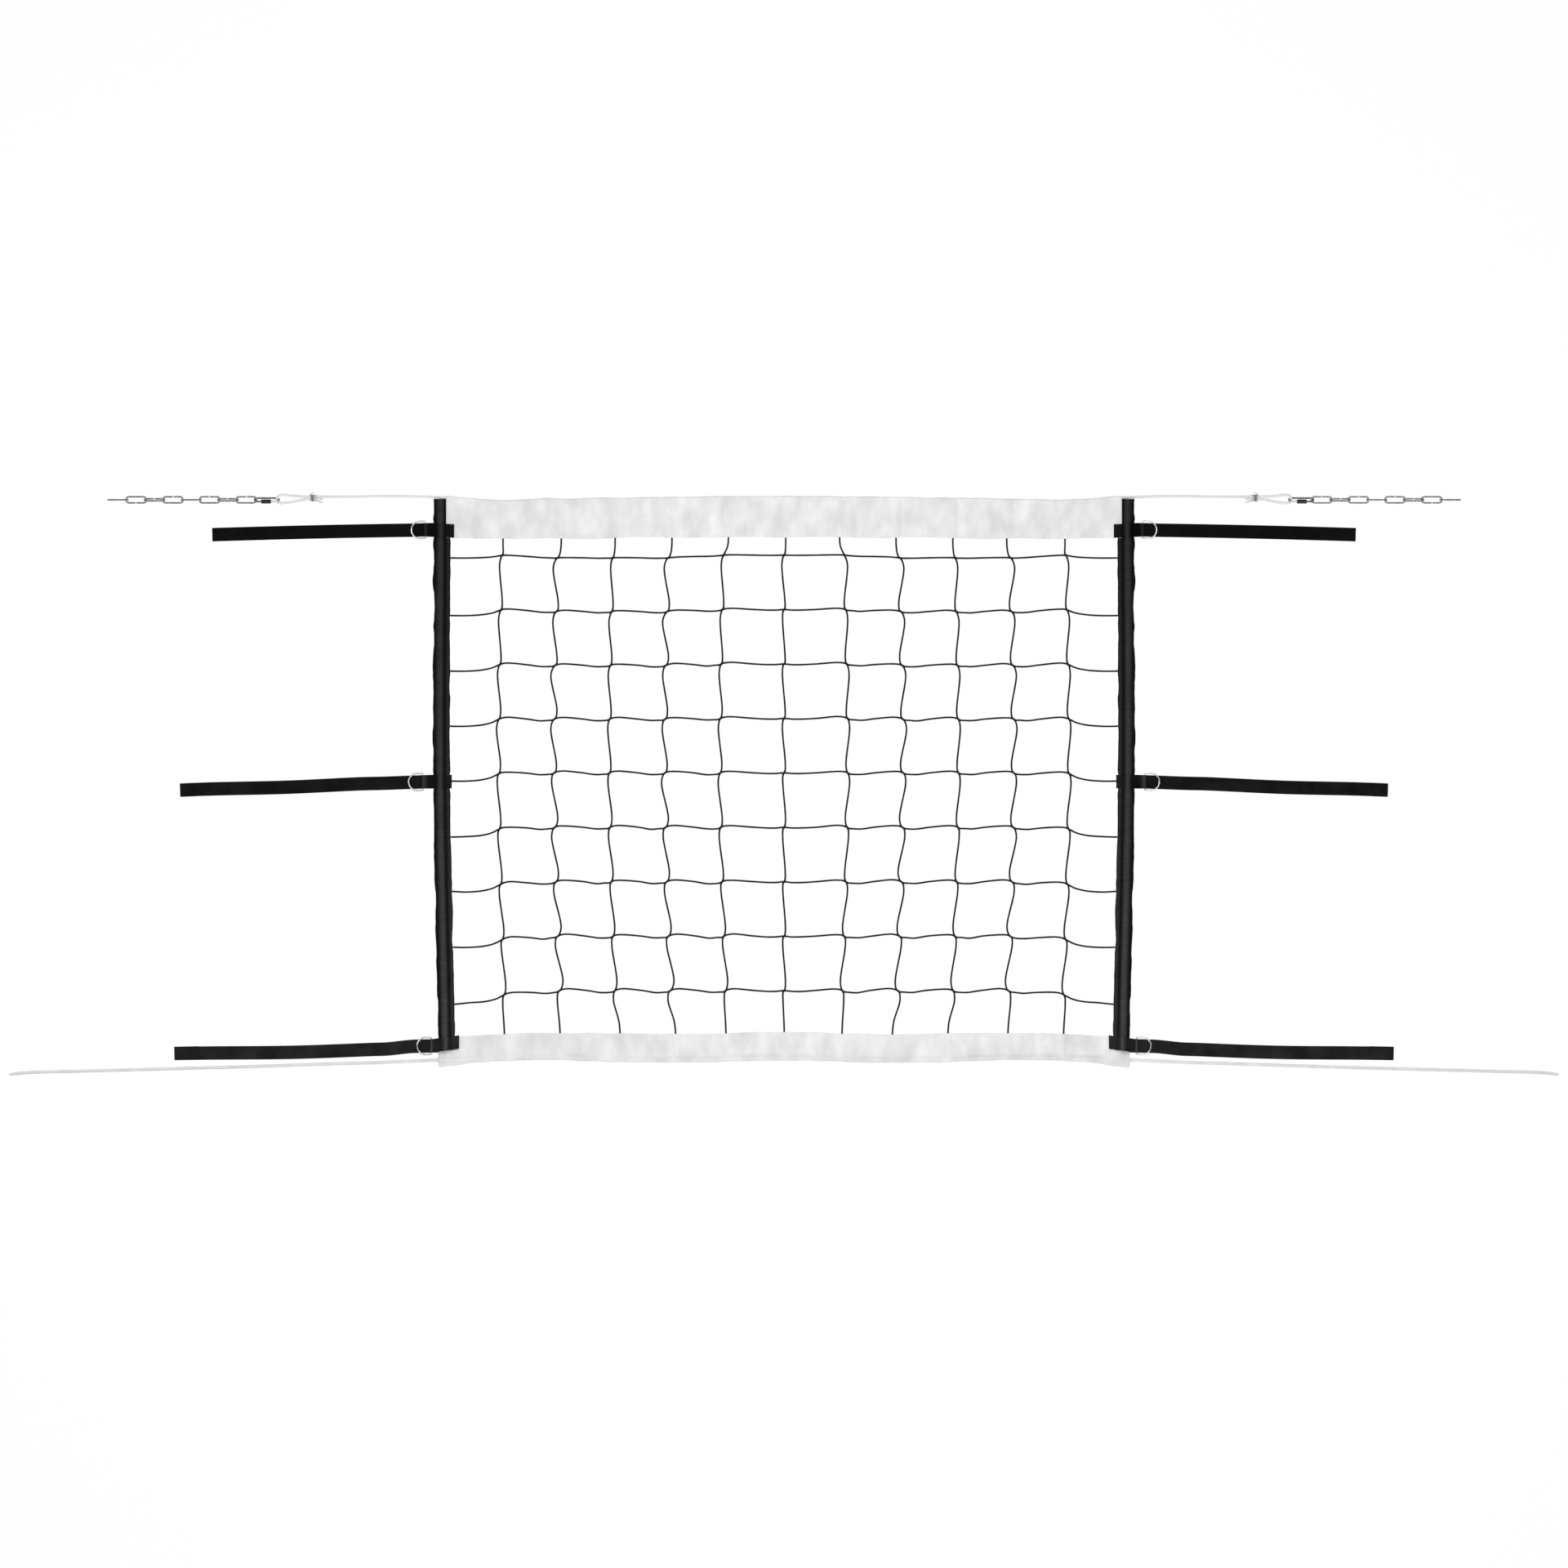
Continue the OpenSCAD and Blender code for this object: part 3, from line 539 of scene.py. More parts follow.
def seizing_route():
    """The thin cord's turns round both strands of the head rope's loop, with its two ends."""
    a = np.arange(200, 360 * SEIZING_TURNS + 21, 20)
    r = np.radians(a)
    x = SEIZING_X - SEIZING_STEP * (a - 200) / 360
    y = SEIZING_Y + np.sign(np.round(np.cos(r), 9)) * STRAND + SEIZING_R * np.cos(r)
    turns = np.column_stack([x, y, SEIZING_Z + SEIZING_R * np.sin(r)])
    start = turns[0] + [[11.5, -3.2, 0], [7.5, -2.4, 0.4], [3.4, -0.9, 0.4]]
    end = turns[-1] + [[0.9, 1.6, 0.5], [3.2, 3.2, 0.4], [6.4, 4.9, -0.2]]
    return HEAD_EXIT + np.vstack([start, turns, end])


def rope_piece(name, line, d, pitch, depth, tip):
    """A braided rope of eight strands whose end is melted over the length of its tip."""
    line = spaced(line, 0.9)
    s = arc(line)
    radius = braid(s, 24, d / 2, 8, pitch, depth)
    radius *= np.interp(s[-1] - s, [0, tip, 3 * tip], [0.35, 0.86, 1])[:, None]
    return tube(Build(), line, radius, 24).object(name, ROPE), line


def laid_cord(name, line, d, mat):
    """A thin cord of three strands laid round each other."""
    line = spaced(line, 0.35)
    s = arc(line)
    a = np.linspace(0, 2 * math.pi, 12, endpoint=False)[None]
    radius = d / 2 * (0.95 + 0.09 * np.cos(3 * a + 2 * math.pi * s[:, None] / 2.6))
    radius = radius * np.interp(np.minimum(s, s[-1] - s), [0, 0.8], [0.6, 1])[:, None]
    return tube(Build(), line, radius, 12).object(name, mat), line


for side, s in SIDES.items():
    route = smooth(mirrored(HEAD_EXIT + np.array(HEAD_ROUTE), s), 1.0)
    piece, line = rope_piece(f"{side}_head_rope", route, HEAD_ROPE_D, 4.2, 0.2, 1.2)
    place(piece, "net", "rope", f"{side}_top_rope_tail")

    piece, line = laid_cord(f"{side}_seizing", smooth(mirrored(seizing_route(), s), 0.35), SEIZING_D, TWINE)
    place(piece, "net", "twine", f"{side}_top_rope_seizing")

    route = smooth(mirrored(FOOT_EXIT + np.array(FOOT_ROUTE), s), 1.0)
    piece, line = rope_piece(f"{side}_foot_rope", route, FOOT_ROPE_D, 4.4, 0.3, 3.5)
    place(piece, "net", "rope", f"{side}_bottom_rope_tail")

# ---------------------------------------------------------------- lines that the tapes and ropes follow


def smoothstep(x, a, b):
    t = np.clip((x - a) / (b - a), 0, 1)
    return t * t * (3 - 2 * t)


def knots(*pairs):
    """A smooth function of X through (X, value) pairs, the same on both sides."""
    xs, ys = zip(*pairs)
    dense = np.linspace(0, xs[-1], 800)
    rough_line = np.interp(dense, xs, ys)
    kernel = np.hanning(61)
    kernel /= kernel.sum()
    padded = np.concatenate([np.full(60, rough_line[0]), rough_line, np.full(60, rough_line[-1])])
    soft = np.convolve(padded, kernel, "same")[60:-60]
    return lambda x: np.interp(np.abs(x), dense, soft)


top_fold = knots(
    (0, 519.0), (75, 519.7), (100, 518.7), (145, 518.7), (195, 517.7), (270, 517.3), (295, 516.0),
    (325, 517.3), (350, 516.6), (395, 514.2), (425, 514.9), (465, 514.2), (500, 512.4), (545, 513.3),
    (575, 516.0), (597, 518.2), (621, 518.4),
)
top_hem = knots(
    (0, 443.8), (60, 444.9), (90, 444.8), (150, 442.9), (200, 442.8), (265, 445.2), (300, 443.0),
    (340, 441.2), (390, 440.8), (440, 442.4), (470, 441.4), (560, 442.4), (621, 443.6),
)
low_fold = knots(
    (0, -516.8), (60, -516.8), (130, -519.8), (200, -520.4), (300, -520.3), (350, -517.8), (410, -515.4),
    (470, -516.2), (525, -517.2), (570, -520.6), (595, -525.8), (615, -527.4), (635, -528.0),
)
low_rope_y = knots(
    (0, -513.3), (60, -513.2), (130, -516.0), (200, -516.8), (300, -516.4), (350, -513.9), (410, -511.8),
    (470, -512.8), (525, -513.7), (590, -516.0), (635, -516.5),
)
low_top_edge = knots(
    (0, -464.4), (60, -465.5), (130, -468.6), (200, -468.7), (300, -468.0), (340, -466.3), (430, -467.3),
    (465, -466.4), (490, -467.2), (545, -470.3), (603, -472.2), (635, -473.0),
)


def top_rope_y(x):
    """The head rope lies 3 mm inside its tape's fold, and nearer to it at both ends."""
    return top_fold(x) - 3.0 + 1.6 * smoothstep(np.abs(x), 598.7, 618.7)


# ---------------------------------------------------------------- netting

TOP_Y = 520.0
NET_HALF = 613.5
SIDE_LEAN = math.tan(math.radians(0.5))
CORD_R, CORD_Z = 1.7, 2.45
ROWS, ROW_PITCH, HEM_Y = 10, 100.0, 511.05
SIDE_COLS, COL_PITCH, MID_MESH, DRAW_IN = 5, 101.7, 111.0, 0.65
BEND, EDGE_DROP, EDGE_FAN = 5.0, 13.0, 1.5
CROSS_LEAN, CROSS_REACH, NET_BOW, ROW_SAG, FOOT_SHIFT = 30.0, 4.2, 9.0, 5.0, 8.0
SLEEVE_TOP, SLEEVE_LOW, BOW = 5.55, 1015.0, 5.0


def bow(y):
    """How far a side sleeve lies bowed out from its straight dowel line at Y."""
    t = np.clip((TOP_Y - SLEEVE_TOP - y) / (SLEEVE_LOW - SLEEVE_TOP), 0, 1)
    return BOW * np.sin(math.pi * t) ** 1.6


def lean_x(y):
    return (TOP_Y - y) * SIDE_LEAN


def crossing(i, j):
    """Where column i, counted from the middle, crosses row j, counted from the top."""
    y = HEM_Y - j * ROW_PITCH
    spread = NET_BOW * math.sin(math.pi * (j - 0.6) / (ROWS - 0.9)) ** 1.3
    x = 0 if i == 0 else MID_MESH + (abs(i) - 1) * COL_PITCH - DRAW_IN * lean_x(y) + spread
    fan = EDGE_FAN * (0.4 * ROWS - j) if abs(i) == SIDE_COLS else 0
    if abs(i) > 1:
        fan -= ROW_SAG * max(0, 1 - (j - 1) / (0.4 * ROWS))
    return np.array([np.sign(i) * x, y + fan, CORD_Z])


def row_bend(j):
    return BEND * (1.05 - 0.85 / j)


def col_bend(i):
    return BEND * (0.6 if i == 0 else 1.3 if i % 2 == 0 else 0.8)


def heading(degrees):
    a = math.radians(degrees)
    return CROSS_REACH * np.array([math.cos(a), math.sin(a), 0])


def row_line(j, rise):
    """A row's cord from the left sleeve to the right one; rise lifts its attached ends."""
    p = crossing(-SIDE_COLS, j)
    drop = EDGE_DROP * (1.2 - 0.85 / j)
    seam = -(NET_HALF - lean_x(p[1])) - bow(p[1] - drop)
    low = [p[0] - seam, p[1] - drop]
    line = [[seam - 4, low[1] + rise, CORD_Z + 0.5], [seam + 0.5, low[1] + rise, CORD_Z + 0.4]]
    for at, up in ((0.3, -0.2), (0.62, 0.14 * drop), (0.84, 0.48 * drop)):
        line.append([seam + at * low[0], low[1] + up, CORD_Z])
    tail = [mirrored(x, -1) for x in line[::-1]]
    for i in range(-SIDE_COLS, SIDE_COLS + 1):
        p = crossing(i, j)
        step = heading(-np.sign(i) * CROSS_LEAN * row_bend(j) / BEND)
        line += [p - step, p, p + step]
        if i < SIDE_COLS:
            q = crossing(i + 1, j)
            waves = [(0.15, 0.75), (0.5, 0.1), (0.74, -0.65), (0.89, -0.55)]
            if i >= 0:
                waves = [(1 - at, up) for at, up in waves[::-1]]
            if i in (-1, 0):
                waves = [(at, 0.4 * up if (at > 0.5) == (i < 0) else up) for at, up in waves]
            for at, up in waves:
                line.append(p + (q - p) * at + [0, row_bend(j) * up * WILD.uniform(*WILD_SHARE), 0])
    return np.array(line + tail, float)


def column_line(i):
    """A column's cord from the bottom tape up to the top one."""
    lay = 1 if i > 0 else -1
    turn = col_bend(i)
    step = heading(90 + lay * 1.1 * CROSS_LEAN * max(turn / BEND, 0.8))
    low, top = crossing(i, ROWS - 1), crossing(i, 1)
    head = -lay * turn * (2 if abs(i) == 1 else 0.45 if abs(i) == SIDE_COLS else 1)
    foot = low[0] - (lay * FOOT_SHIFT if abs(i) in (2, 3) else 0)
    line = [
        [foot - 0.5 * lay * turn, low_rope_y(foot) + FOOT_ROPE_D / 2 + 0.3, CORD_Z],
        [foot, low[1] - 0.6 * ROW_PITCH, CORD_Z],
        [low[0] + 0.6 * lay * turn, low[1] - 0.19 * ROW_PITCH, CORD_Z],
    ]
    for j in range(ROWS - 1, 0, -1):
        p = crossing(i, j)
        line += [p - step, p, p + step]
        if j > 1:
            q = crossing(i, j - 1)
            above, below = 0.35 + 0.7 * j / ROWS, 1.15 - 0.6 * (j - 1) / ROWS
            for at, out in ((0.18, -above), (0.82, below)):
                line += [p + (q - p) * at + [lay * turn * out * WILD.uniform(*WILD_SHARE), 0, 0]]
    line += [[top[0] + head, top[1] + 0.19 * ROW_PITCH, CORD_Z]]
    line += [[top[0] + 0.7 * head, top_rope_y(top[0]) - HEAD_ROPE_D / 2 - 0.3, CORD_Z]]
    return np.array(line, float)


def cord_into(build, line, centres, ends):
    """A netting cord, thicker at its crossings and drawn in to a share of its size at its ends."""
    near = np.min(np.linalg.norm(line[:, None] - centres[None], axis=2), axis=1)
    s = arc(line)
    radius = CORD_R * (1 + 0.14 * np.exp(-((near / 5.5) ** 2)) + 0.025 * np.sin(s / 7.3))
    radius = radius * np.interp(np.minimum(s, s[-1] - s), [0, 4, 6], [ends, ends, 1])
    tube(build, line, radius, 10)


WILD, WILD_SHARE = np.random.default_rng(5), (0.8, 1.2)
net = Build()
centres = np.array([[crossing(i, j) for i in range(-SIDE_COLS, SIDE_COLS + 1)] for j in range(1, ROWS)])
ATTACH_RISE = [0, 0, 0, 0, 0, -1, 1, 0, -3]
for j in range(1, ROWS):
    cord_into(net, smooth(row_line(j, ATTACH_RISE[j - 1]), 2.2), centres[j - 1], 0.76)
columns = {i: smooth(column_line(i), 2.2) for i in range(-SIDE_COLS, SIDE_COLS + 1)}
for i, line in columns.items():
    cord_into(net, line, centres[:, i + SIDE_COLS], 1.0)
place(net.object("net_cords", CORD), "net", "cord", "netting")

# ---------------------------------------------------------------- tapes


def wrinkles(x, y, seed, count, size):
    """Soft dents and swellings of a sheet, each a stretched bump turned at random."""
    r = np.random.default_rng(seed)
    out = np.zeros(np.broadcast(x, y).shape)
    for _ in range(count):
        cx, cy = r.uniform(x.min(), x.max()), r.uniform(y.min(), y.max())
        turn, long = r.uniform(-0.7, 0.7), r.uniform(1.1, 2.6)
        wide = size * r.uniform(0.6, 1.3)
        dx, dy = x - cx, y - cy
        a = dx * math.cos(turn) + dy * math.sin(turn)
        b = dy * math.cos(turn) - dx * math.sin(turn)
        out += r.uniform(-1, 1) * np.exp(-((a / wide) ** 2) - (b / (wide * long)) ** 2)
    return out


def eased(values, at):
    """A smooth line through values, read at numbers between them."""
    i = np.clip(at.astype(int), 0, len(values) - 2)
    f = (at - i) ** 2 * (3 - 2 * (at - i))
    return values[i] * (1 - f) + values[i + 1] * f


def wander(x, pitch, seed):
    """A smooth random line with a knot at every pitch."""
    knot = np.arange(x.min() - 2 * pitch, x.max() + 3 * pitch, pitch)
    return eased(np.random.default_rng(seed).normal(0, 1, len(knot)), (x - knot[0]) / pitch)


def creases(x, y, edge, seed, pitch, deep):
    """Upright folds that fade away from an edge, spaced at random along the tape."""
    r = np.random.default_rng(seed)
    out = np.zeros(np.broadcast(x, y).shape)
    at = x.min()
    while at < x.max():
        at += pitch * r.uniform(0.45, 1.5)
        wide, slant, reach = r.uniform(6, 15), r.uniform(-0.35, 0.35), r.uniform(22, 60)
        far = np.abs(y - edge)
        out += deep * r.uniform(-1, 1) * np.exp(-(((x - at - slant * far) / wide) ** 2) - (far / reach) ** 2)
    return out


# A tape's cloth: how far its turn bulges past the fold's line, its thickness, and how finely it is meshed
FOLD_TURN, TAPE_T, TAPE_STEP, TAPE_ACROSS = 1.6, 0.6, 2.4, 40
# The X past which the bottom tape is cut away for a sleeve and its tab, and the height of a tape over a cord
CUT_X, CORD_BULGE = 604.2, 5.05


def tape_piece(name, fold, rope_y, rope_top, roll, hem, trim, side_lift, seed, half):
    """A cloth folded round its rope and the netting's columns; fold, rope_y, hem and trim give Y at X."""
    x = np.linspace(-half, half, len(np.arange(-half, half + 1, TAPE_STEP)))
    x = np.sort(np.append(x, [-CUT_X - 0.4, -CUT_X + 0.3, CUT_X - 0.3, CUT_X + 0.4]))
    f, r, h = fold(x) + 0.5 * wander(x, 26, seed), rope_y(x), hem(x) + 0.35 * wander(x, 31, seed + 5)
    out = np.sign(f[len(x) // 2] - h[len(x) // 2])
    f = f - out * FOLD_TURN * (1 - smoothstep(np.abs(x), half - 22, half - 2))
    y = h[:, None] + (f - h)[:, None] * np.linspace(0, 1, TAPE_ACROSS)[None]
    if trim:
        start, full = trim(x)[:, None] - 1.5, h[:, None]
        cut = (y > start) & (np.abs(x) > CUT_X)[:, None]
        y = np.where(cut, start + 1.5 * (y - start) / (full - start), y)
    xx = np.broadcast_to(x[:, None], y.shape)
    from_rope = np.abs(y - r[:, None])
    soft = np.clip(np.abs(y - h[:, None]) / 12, 0.25, 1) * np.clip(from_rope / 12, 0.25, 1)
    relief = wrinkles(xx, y, seed, 260, 17) * 1.7 + creases(xx, y, h[:, None], seed + 1, 34, 2.6)
    relief += creases(xx, y, f[:, None], seed + 2, 40, 2.2)
    base = 3.3 + 2.0 * np.tanh((relief * soft - 0.5) / 2.0)
    for line in columns.values():
        order = np.argsort(line[:, 1])
        lie = np.exp(-(((xx - np.interp(y, line[order, 1], line[order, 0])) / 6.2) ** 2))
        base = base + (CORD_BULGE - np.minimum(base, CORD_BULGE)) * lie
    base = side_lift(xx, y, base)
    z = base + (np.maximum(rope_top, base) - base) * np.exp(-((from_rope / roll) ** 2))
    up, low_y = z[:, -1:] / 2, y[:, ::-3]
    turn = np.radians(np.linspace(80, -80, 7))

    def face(reach, rise, top, floor):
        """Y and Z of a face of the cloth: its upper ply, its turn round the rope and its lower ply."""
        ys = [y, f[:, None] + out * reach * np.cos(turn), low_y]
        zs = [top, up + rise * np.sin(turn), np.full_like(low_y, floor)]
        return np.concatenate(ys, 1), np.concatenate(zs, 1)

    reach = np.minimum(up, 1.8)
    outer_y, outer_z = face(reach, up, z, 0)
    inner_reach, inner_up = np.maximum(reach - TAPE_T, 0.05), np.maximum(up - TAPE_T, 0.05)
    inner_y, inner_z = face(inner_reach, inner_up, z - TAPE_T, TAPE_T)
    ys, zs = np.concatenate([outer_y, inner_y[:, ::-1]], 1), np.concatenate([outer_z, inner_z[:, ::-1]], 1)
    grid = np.stack([np.broadcast_to(x[:, None], ys.shape), ys, zs], -1)
    middle = len(x) // 2
    s = np.concatenate([[0], np.cumsum(np.abs(np.diff(ys[middle])) + np.abs(np.diff(zs[middle])))])
    build = Build().grid(grid, x, np.append(s, s[-1] + 1))
    ring = ys.shape[1]
    for row, flip in ((0, False), (len(x) - 1, True)):
        for k in range(ring // 2 - 1):
            q = [row * ring + a for a in (k, k + 1, ring - 2 - k, ring - 1 - k)]
            build.faces.append(q[::-1] if flip else q)
            build.uv.append(np.tile([x[row], s[k]], (4, 1)))
    piece = outward(build.object(name, TAPE))

    def top(px, py):
        """Height of the tape's upper face at points."""
        col = np.interp(px, x, np.arange(len(x)))
        i = np.clip(col.astype(int), 0, len(x) - 2)
        t = (py - h[i]) / (f[i] - h[i]) * (TAPE_ACROSS - 1)
        j = np.clip(t.astype(int), 0, TAPE_ACROSS - 2)
        a, b = col - i, np.clip(t - j, 0, 1)
        before, after = ((1 - b) * z[k, j] + b * z[k, j + 1] for k in (i, i + 1))
        return (1 - a) * before + a * after

    return piece, top


def over_flange(x, y, base):
    """The top tape lies over the sleeves' flanges, up to the feet of the upper tabs."""
    lift = smoothstep(np.abs(x), 590, 606)
    return base * (1 - lift) + np.maximum(5.25, np.minimum(base, 5.45)) * lift


def under_foot(x, y, base):
    """The bottom tape rises to the feet of the lower tabs, and lies flat below them."""
    lift = smoothstep(np.abs(x), 584, 598) * smoothstep(y, -514, -498)
    return base * (1 - lift) + np.clip(base, 3.5, 3.95) * lift


def tab_line(x):
    """The line to which the bottom tape is cut away for the sleeves and lower tabs at both ends."""
    return -500.4 + math.tan(math.radians(7.5)) * (636.5 - np.abs(x))


TOP_HALF, LOW_HALF = 620.737, 634.843
top_tape, top_height = tape_piece(
    "head_tape", top_fold, top_rope_y, 6.0, 4.6, top_hem, None, over_flange, 3, TOP_HALF
)
place(top_tape, "net", "tape", "top_tape")

low_tape, low_height = tape_piece(
    "foot_tape", low_fold, low_rope_y, 7.0, 5.6, low_top_edge, tab_line, under_foot, 12, LOW_HALF
)
place(low_tape, "net", "tape", "bottom_tape")

for name, path_y, d, node, half in (
    ("head_rope_in_tape", top_rope_y, HEAD_ROPE_D, "top_rope", TOP_HALF),
    ("foot_rope_in_tape", low_rope_y, FOOT_ROPE_D, "bottom_rope", LOW_HALF),
):
    x = np.linspace(-half, half, 620)
    line = np.column_stack([x, path_y(x), np.full_like(x, TAPE_T + 0.15 + d / 2)])
    radius = braid(arc(line), 16, d / 2 - 0.1, 8, 4.5, 0.12)
    place(tube(Build(), line, radius, 16).object(name, ROPE), "net", "rope", node)


def tape_seam(x, y, height, step, length):
    stitches(seams, np.column_stack([x, y, height(x, y) - 0.05]), step, length, 0.2)


seams = Build()
for edge_y, height, off, half in (
    (top_hem, top_height, 4.5, 604), (top_rope_y, top_height, -6.5, 612),
    (low_top_edge, low_height, -6.0, 595), (low_rope_y, low_height, 7.0, 600),
):
    x = np.linspace(-half, half, 900)
    tape_seam(x, edge_y(x) + off, height, 4.4, 3.2)
for s in SIDES.values():
    y = np.linspace(472, 508, 60)
    tape_seam(np.full_like(y, -s * 615.5), y, top_height, 4.2, 3.0)
place(seams.object("tape_seams", WHITE_THREAD), "net", "tape")

# ---------------------------------------------------------------- side sleeves and their webbing

SIDE_X, LEAN = -632.7, math.radians(0.5)
POCKET_W, FLANGE_W, DOWEL_Z, POCKET_R = 22.0, 8.2, 8.3, 6.9
WEB_W, WEB_T = 25.0, 1.2
TAB_DROP = [63.5, 525.0, 1007.0]
TAB_SLANT = [math.tan(math.radians(a)) for a in (-3, 0, 7.5)]
STRAP_TURN = [math.radians(a) for a in (0.8, 1.5, 0.8)]
TAB_REACH = [28.5, 37.6, 26.3]
TAB_FOOT = [26.3, 18.0, 27.3]
FLANGE_TOP = CORD_Z + 0.75
# Where each tab's painted highlight round its ring's bar lies from the bar, and its half width, in
# millimetres
TAB_HIGHLIGHT_OFF, TAB_HIGHLIGHT_W = [-2.2, 1.4, -0.3], [3.8, 5.0, 2.6]
TAB_FOOT_Z = [5.6, FLANGE_TOP + 0.9, FLANGE_TOP + 0.9]
STRAP_L = [362.0, 415.0, 441.0]
STRAP_HEM = [0.0, 26.0, 44.0]
LOOP_R = 2.4
BAR_Z = 4.2
BAR_X = [LOOP_R + WEB_T / 2 - r for r in TAB_REACH]
BAR_Y = [x * a for x, a in zip(BAR_X, TAB_SLANT)]
RING_R, RING_LEG, RING_WIRE, RING_CORNER = 15.75, 11.0, 3.0, 3.0
RING_DROP = math.asin(1.15 / (RING_LEG + RING_R))
STRAP_X = [x - RING_LEG - RING_R - RING_WIRE / 2 - 2.5 for x in BAR_X]
STRAP_Y = [BAR_Y[k] + (STRAP_X[k] - BAR_X[k]) * math.tan(STRAP_TURN[k]) for k in range(3)]


def at_side(p, s, drop=0.0):
    """Points of a side's own frame, moved to the net's."""
    p = np.asarray(p, float)
    x, y = p[..., 0], p[..., 1] - drop
    c, n = math.cos(LEAN), math.sin(LEAN)
    out = np.stack([SIDE_X + c * x - n * y, TOP_Y + n * x + c * y, p[..., 2]], -1)
    return out * [s, 1, 1]


# The angle at which the pocket's arc over the dowel starts, the radius of its bore and of the dowel, and how
# far down a sleeve its random lines run
OVER_START, BORE_R, DOWEL_R, JITTER_L = 152, 6.3, 6.0, 1030


def sleeve_section():
    """The pocket's outer outline round the dowel, from its fold at the left to the flange and back."""
    tip, out = -POCKET_W / 2 - 0.2, POCKET_W / 2 + FLANGE_W + 0.9
    right = [
        [7.6, 9.4], [8.9, 6.6], [9.9, 4.4], [10.8, 3.45], [11.5, 3.4], [12.6, 4.15], [14.4, 4.75],
        [16.6, 4.8], [out - 0.9, 4.65], [out, 3.8], [out, 2.4], [out - 1.2, 1.5], [12, 1.5], [7.5, 1.6],
    ]
    left = [[-7.6, 2.0], [tip + 1.2, 2.9], [tip, 3.7], [tip + 0.2, 4.7], [-9.2, 6.7]]
    over, under = np.linspace(OVER_START, 32, 17), np.linspace(-50, -130, 9)
    return np.vstack([bend(0, DOWEL_Z, POCKET_R, over), right, bend(0, DOWEL_Z, POCKET_R, under), left])


section = sleeve_section()
around = arc(np.vstack([section, section[:1]]))


def jitter(along, pitch, seed, spread):
    """A smooth random line along the sleeve."""
    knot = np.arange(-2 * pitch, JITTER_L + 3 * pitch, pitch)
    values = np.random.default_rng(seed).normal(0, spread, len(knot))
    return eased(np.convolve(values, [0.25, 0.5, 0.25], "same"), along / pitch + 2)[:, None]


def sleeve_piece(side, s):
    """The sleeve with its dowel: gathered along its free edges, flat under the tabs and the top tape."""
    along = np.linspace(SLEEVE_TOP, SLEEVE_LOW, 620)
    free = smoothstep(np.min(np.abs(along[:, None] - np.array(TAB_DROP)), axis=1), 10, 24)[:, None]
    under_tape = (1 - smoothstep(along, 76, 82))[:, None]
    x, z = section.T[:, None]
    left_share, right_share = np.clip((-x - 5) / 6, 0, 1), np.clip((x - 12) / 6, 0, 1)
    down = along[:, None] + 0 * x
    rib = wrinkles(down, x * 0.45 + 0 * down, 31, 1900, 2.0)
    swell = wrinkles(down, x * 3 + 0 * down, 33, 260, 9.0)
    relief = (np.clip(rib, -0.8, 0.8) * 0.36 + np.clip(swell, -0.8, 0.8) * 0.4) * np.clip((z - 4) / 9, 0, 1)
    edge = (jitter(along, 15, 21, 1.5) + jitter(along, 6, 22, 0.5)) * free
    far_edge = (jitter(along, 12, 23, 0.7) + jitter(along, 5, 24, 0.3)) * free * (1 - under_tape)
    shift = -bow(TOP_Y - along)[:, None]
    out = x * (1 - 0.045 * (1 - free)) + shift + edge * left_share + far_edge * right_share
    up = z + relief * (0.35 + 0.65 * free) + (np.minimum(z, 4.3) - z) * under_tape * right_share
    hole = bend(0, DOWEL_Z, BORE_R, np.linspace(OVER_START, OVER_START - 360, len(section), endpoint=False))
    bore = np.stack([hole[:, 0] + shift, -down, hole[:, 1] + 0 * shift], -1)
    bore[-1, :, 1] = -SLEEVE_LOW + 2
    skin = np.stack([out, -down, up], -1)
    solid = np.concatenate([skin, bore[::-1], skin[:1]])
    build = Build().grid(at_side(solid, s), np.concatenate([along, along[::-1], along[:1]]), around)
    piece = outward(build.object(f"{side}_sleeve", SLEEVE))
    place(piece, "net", "sleeve", f"{side}_side_sleeve")
    rod = np.arange(SLEEVE_TOP + 3, SLEEVE_LOW - 5.2, 8.0)
    line = np.column_stack([-bow(TOP_Y - rod), -rod, np.full_like(rod, DOWEL_Z)])
    dowel = tube(Build(), at_side(line, s), round_ends(arc(line), DOWEL_R, 1.2), 28)
    place(dowel.object(f"{side}_rod", WOOD), "net", "wood", f"{side}_dowel")


def over_dowel_path(k):
    """Middle of the tab's webbing in X and Z: foot, over the dowel, round the ring's bar and back."""
    foot, out = TAB_FOOT_Z[k] + WEB_T / 2, -bow(TOP_Y - TAB_DROP[k])
    return np.vstack([
        [[TAB_FOOT[k], foot], [POCKET_W / 2 + 1.5 + out, foot]],
        bend(out, DOWEL_Z, POCKET_R + 0.2 + WEB_T / 2, np.arange(20, 151, 10)),
        bend(BAR_X[k], BAR_Z, LOOP_R, np.arange(105, 256, 15)),
        [[BAR_X[k], BAR_Z - LOOP_R], [-POCKET_W / 2 - 1, BAR_Z - LOOP_R]],
    ])


